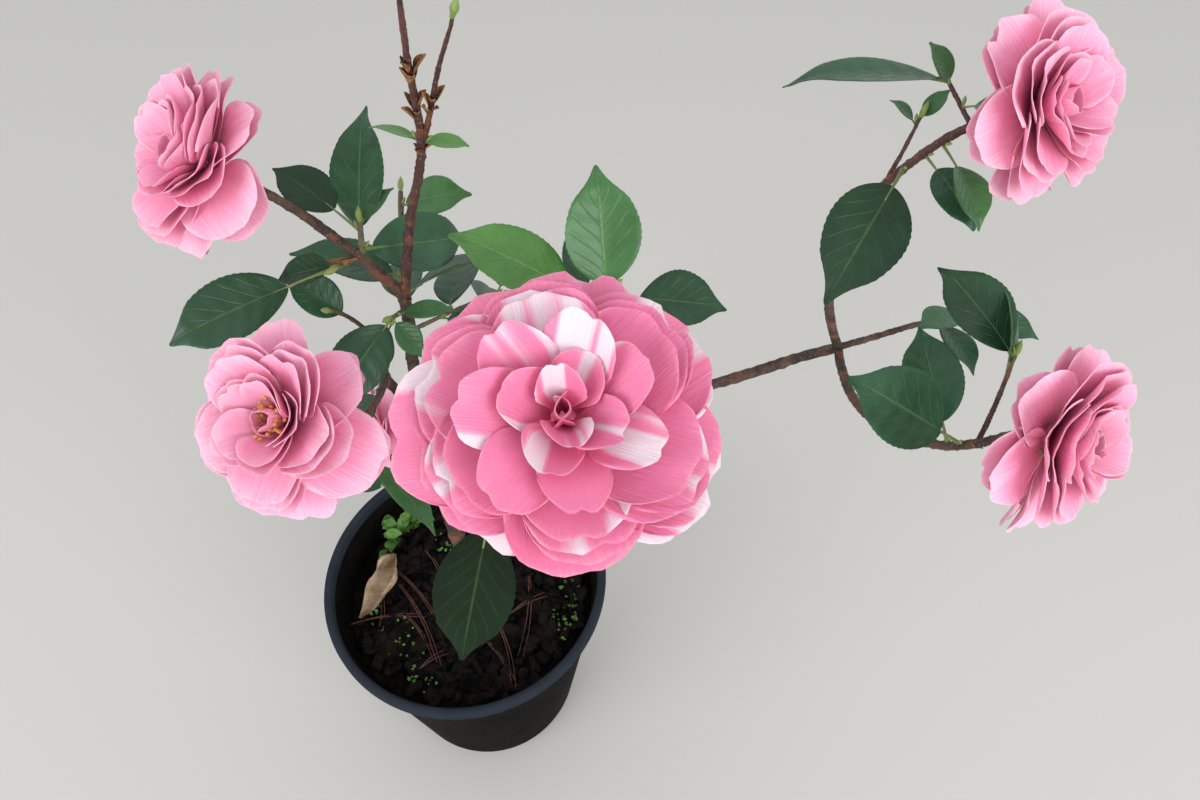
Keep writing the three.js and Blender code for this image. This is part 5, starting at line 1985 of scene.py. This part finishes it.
@dataclass
class Shrub:
    """The plant: trunk and boughs in bark, and at their ends the sprays of twigs, leaves and blooms."""

    growth: Growth
    bough_sides: int = 26
    twig_sides: int = 14
    overlap: float = 0.012

    def build_boughs(self, bark: dict[str, Material]) -> None:
        """Builds the trunk and each bough, and lets each stand for its solid.

        Args:
            bark: the materials by name.
        """
        for name, limb in BOUGHS.items():
            spans = [(self.growth.lines[name], 0.0, limb.bare)]
            piece = limb_piece(f"{name}_bark", spans, self.bough_sides)
            dress(piece, bark["red" if name == "sprout" else "bough"])
            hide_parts(name)

    def spray_spans(self, spray: str) -> list[tuple[Line, float, float]]:
        """The stems and twigs of a spray, with the share of each that is in it.

        Args:
            spray: its name.

        Returns:
            Lines, each with the shares where it starts and ends.
        """
        own = [(name, limb) for name, limb in self.growth.limbs.items() if limb.spray == spray]
        return [
            (self.growth.lines[name], limb.bare - self.overlap if name in BOUGHS else 0.0, 1.0)
            for name, limb in own
        ]

    def bare_tips(self, spray: str) -> list[str]:
        """The limbs of a spray that no bloom ends.

        Args:
            spray: its name.

        Returns:
            Their names.
        """
        ended = {bloom.on for bloom in BLOOMS} | {"sprout"}
        limbs = self.growth.limbs
        return [name for name, limb in limbs.items() if limb.spray == spray and name not in ended]

    def scales(self) -> Piece:
        """The dry brown scales at old nodes: short cupped blades that stand off the limb all round it.

        Returns:
            The object.
        """
        rows = [(mark, index) for mark in SCALE_MARKS for index in range(mark.count)]
        root, along, out, size = [], [], [], []
        for mark, index in rows:
            line = self.growth.lines[mark.on]
            direction = line.heading(mark.at)
            lean = math.radians(6 + 20 * share(index + mark.length))
            away, ahead = lean_off(direction, math.radians(GOLDEN_ANGLE * index), lean)
            root.append(line.point(mark.at + index * mark.step) + away * line.radius(mark.at) * 0.9)
            along.append(ahead)
            out.append(away * math.cos(lean) - direction * math.sin(lean))
            size.append(mark.length * (0.7 + 0.5 * share(index + 0.3)))
        root, along, out = (np.array(part)[:, None, None] for part in (root, along, out))
        size = np.array(size)[:, None, None]
        u, v = blade_grid(11, 7)
        half = 0.2 * np.sin(math.pi * np.clip(u, 0.1, 0.97)) ** 0.7
        rise = 0.1 * u * u - 0.9 * half * v * v
        middle = (
            root
            + along * (size * u)[..., None]
            + np.cross(along, out) * (size * half * v)[..., None]
            + out * (size * rise)[..., None]
        )
        return thin_blades("brown_scales", middle, 0.5, np.linspace(0, 1, len(rows)))

    def build(self) -> None:
        """Builds the whole plant, spray by spray."""
        bark = {
            "bough": BROWN_BARK.material(),
            "brown": BROWN_TWIG.material(),
            "red": RED_BARK.material(),
            "green": GREEN_BARK.material(),
        }
        finishes = {
            "even": PINK_PETAL.material(),
            # the streaked bloom's petals take the darker copy, which is painted shade
            "streaked": STREAKED_PETAL_PAINTED_SHADE.material(),
            "sepal": SEPAL_GREEN.material(),
            "stamen": STAMEN_GOLD.material(),
        }
        leaf, stalk, bud = LeafFinish().material(), STALK_GREEN.material(), BUD_GREEN.material()
        self.build_boughs(bark)
        lines, limbs = self.growth.lines, self.growth.limbs
        sprays = dict.fromkeys(limb.spray for limb in limbs.values() if limb.spray)
        for spray in sprays:
            tint = "red" if spray in RED_SPRAYS else "green" if spray in GREEN_SPRAYS else "brown"
            twigs = limb_piece(f"{spray}_twigs", self.spray_spans(spray), self.twig_sides)
            dress(twigs, bark[tint])
            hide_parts(spray)
            own = [grown for grown in self.growth.leaves if limbs[grown.on].spray == spray]
            if own:
                Foliage(spray, own, lines, self.bare_tips(spray)).build(leaf, stalk, bud)
        dress(self.scales(), SCALE_BROWN.material())
        for seed, bloom in enumerate(BLOOMS, start=1):
            Flower(limbs[bloom.on].spray, bloom, lines, seed).build(finishes)


RED_SPRAYS = ("sprout_twigs", "right_upper_spray", "low_spray")
GREEN_SPRAYS = ("left_node_spray", "left_side_spray", "centre_spray", "back_spray", "low_front_spray")


@dataclass(frozen=True)
class Lamp:
    """A square soft light: its place and width in metres, and its power in watts."""

    name: str
    place: tuple[float, float, float]
    power: float
    size: float = 2.6


@dataclass
class Studio:
    """A plain pale floor, soft light, and the camera above and in front of the shrub."""

    camera_place: tuple[float, float, float] = (0.134, -0.373, 1.057)
    camera_tilt: float = 37.0
    crown: tuple[float, float, float] = (0.12, -0.05, 0.55)
    lens: float = 25.5
    sensor: float = 36.0
    nearest: float = 0.01
    floor_size: float = 12.0
    floor_colour: Colour = (0.52, 0.51, 0.485, 1)
    sky: Colour = (0.97, 0.985, 1.0, 1)
    sky_strength: float = 0.89
    lamps: tuple[Lamp, ...] = (
        Lamp("key", (2.3, -2.5, 1.7), 84.0),
        Lamp("fill", (-2.4, -2.1, 1.7), 64.0),
    )

    def build(self) -> None:
        """Builds the camera, the floor, the lights and the sky."""
        scene = bpy.context.scene
        camera = bpy.data.objects.new("camera", bpy.data.cameras.new("camera"))
        camera.data.lens = self.lens
        camera.data.sensor_width = self.sensor
        camera.data.clip_start = self.nearest
        camera.location = self.camera_place
        camera.rotation_euler = (math.radians(self.camera_tilt), 0.0, 0.0)
        scene.collection.objects.link(camera)
        scene.camera = camera
        half = self.floor_size / 2
        corners = [(-half, -half, 0), (half, -half, 0), (half, half, 0), (-half, half, 0)]
        mesh = bpy.data.meshes.new("floor")
        mesh.from_pydata(corners, [], [(0, 1, 2, 3)])
        floor = bpy.data.objects.new("floor", mesh)
        scene.collection.objects.link(floor)
        material, _, shader = start_material("floor", 0.85)
        shader.inputs["Base Color"].default_value = self.floor_colour
        mesh.materials.append(material)
        for lamp in self.lamps:
            self.hang(lamp)
        world = bpy.data.worlds.new("sky")
        world.use_nodes = True
        background = world.node_tree.nodes["Background"]
        background.inputs[0].default_value = self.sky
        background.inputs[1].default_value = self.sky_strength
        scene.world = world
        scene.view_settings.view_transform = "Standard"

    def hang(self, lamp: Lamp) -> None:
        """Hangs a lamp in its place, turned to the crown.

        Args:
            lamp: the lamp.
        """
        light = bpy.data.lights.new(lamp.name, "AREA")
        light.size, light.energy = lamp.size, lamp.power
        hung = bpy.data.objects.new(lamp.name, light)
        hung.location = lamp.place
        towards = np.array(self.crown) - np.array(lamp.place)
        flat = math.hypot(towards[0], towards[1])
        turn = math.atan2(towards[0], -towards[1]) + math.pi
        hung.rotation_euler = (math.atan2(flat, -towards[2]), 0.0, turn)
        bpy.context.scene.collection.objects.link(hung)


def main() -> None:
    """Builds the studio, the pot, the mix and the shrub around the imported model."""
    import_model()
    Studio().build()
    Pot().build()
    PottingMix().build()
    sprays = {limb.spray for limb in {**BOUGHS, **TWIGS}.values() if limb.spray}
    reach = {name: tuple(np.array(corner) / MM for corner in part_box(name)) for name in sprays}
    Shrub(Growth(reach)).build()


if __name__ == "__main__":
    main()
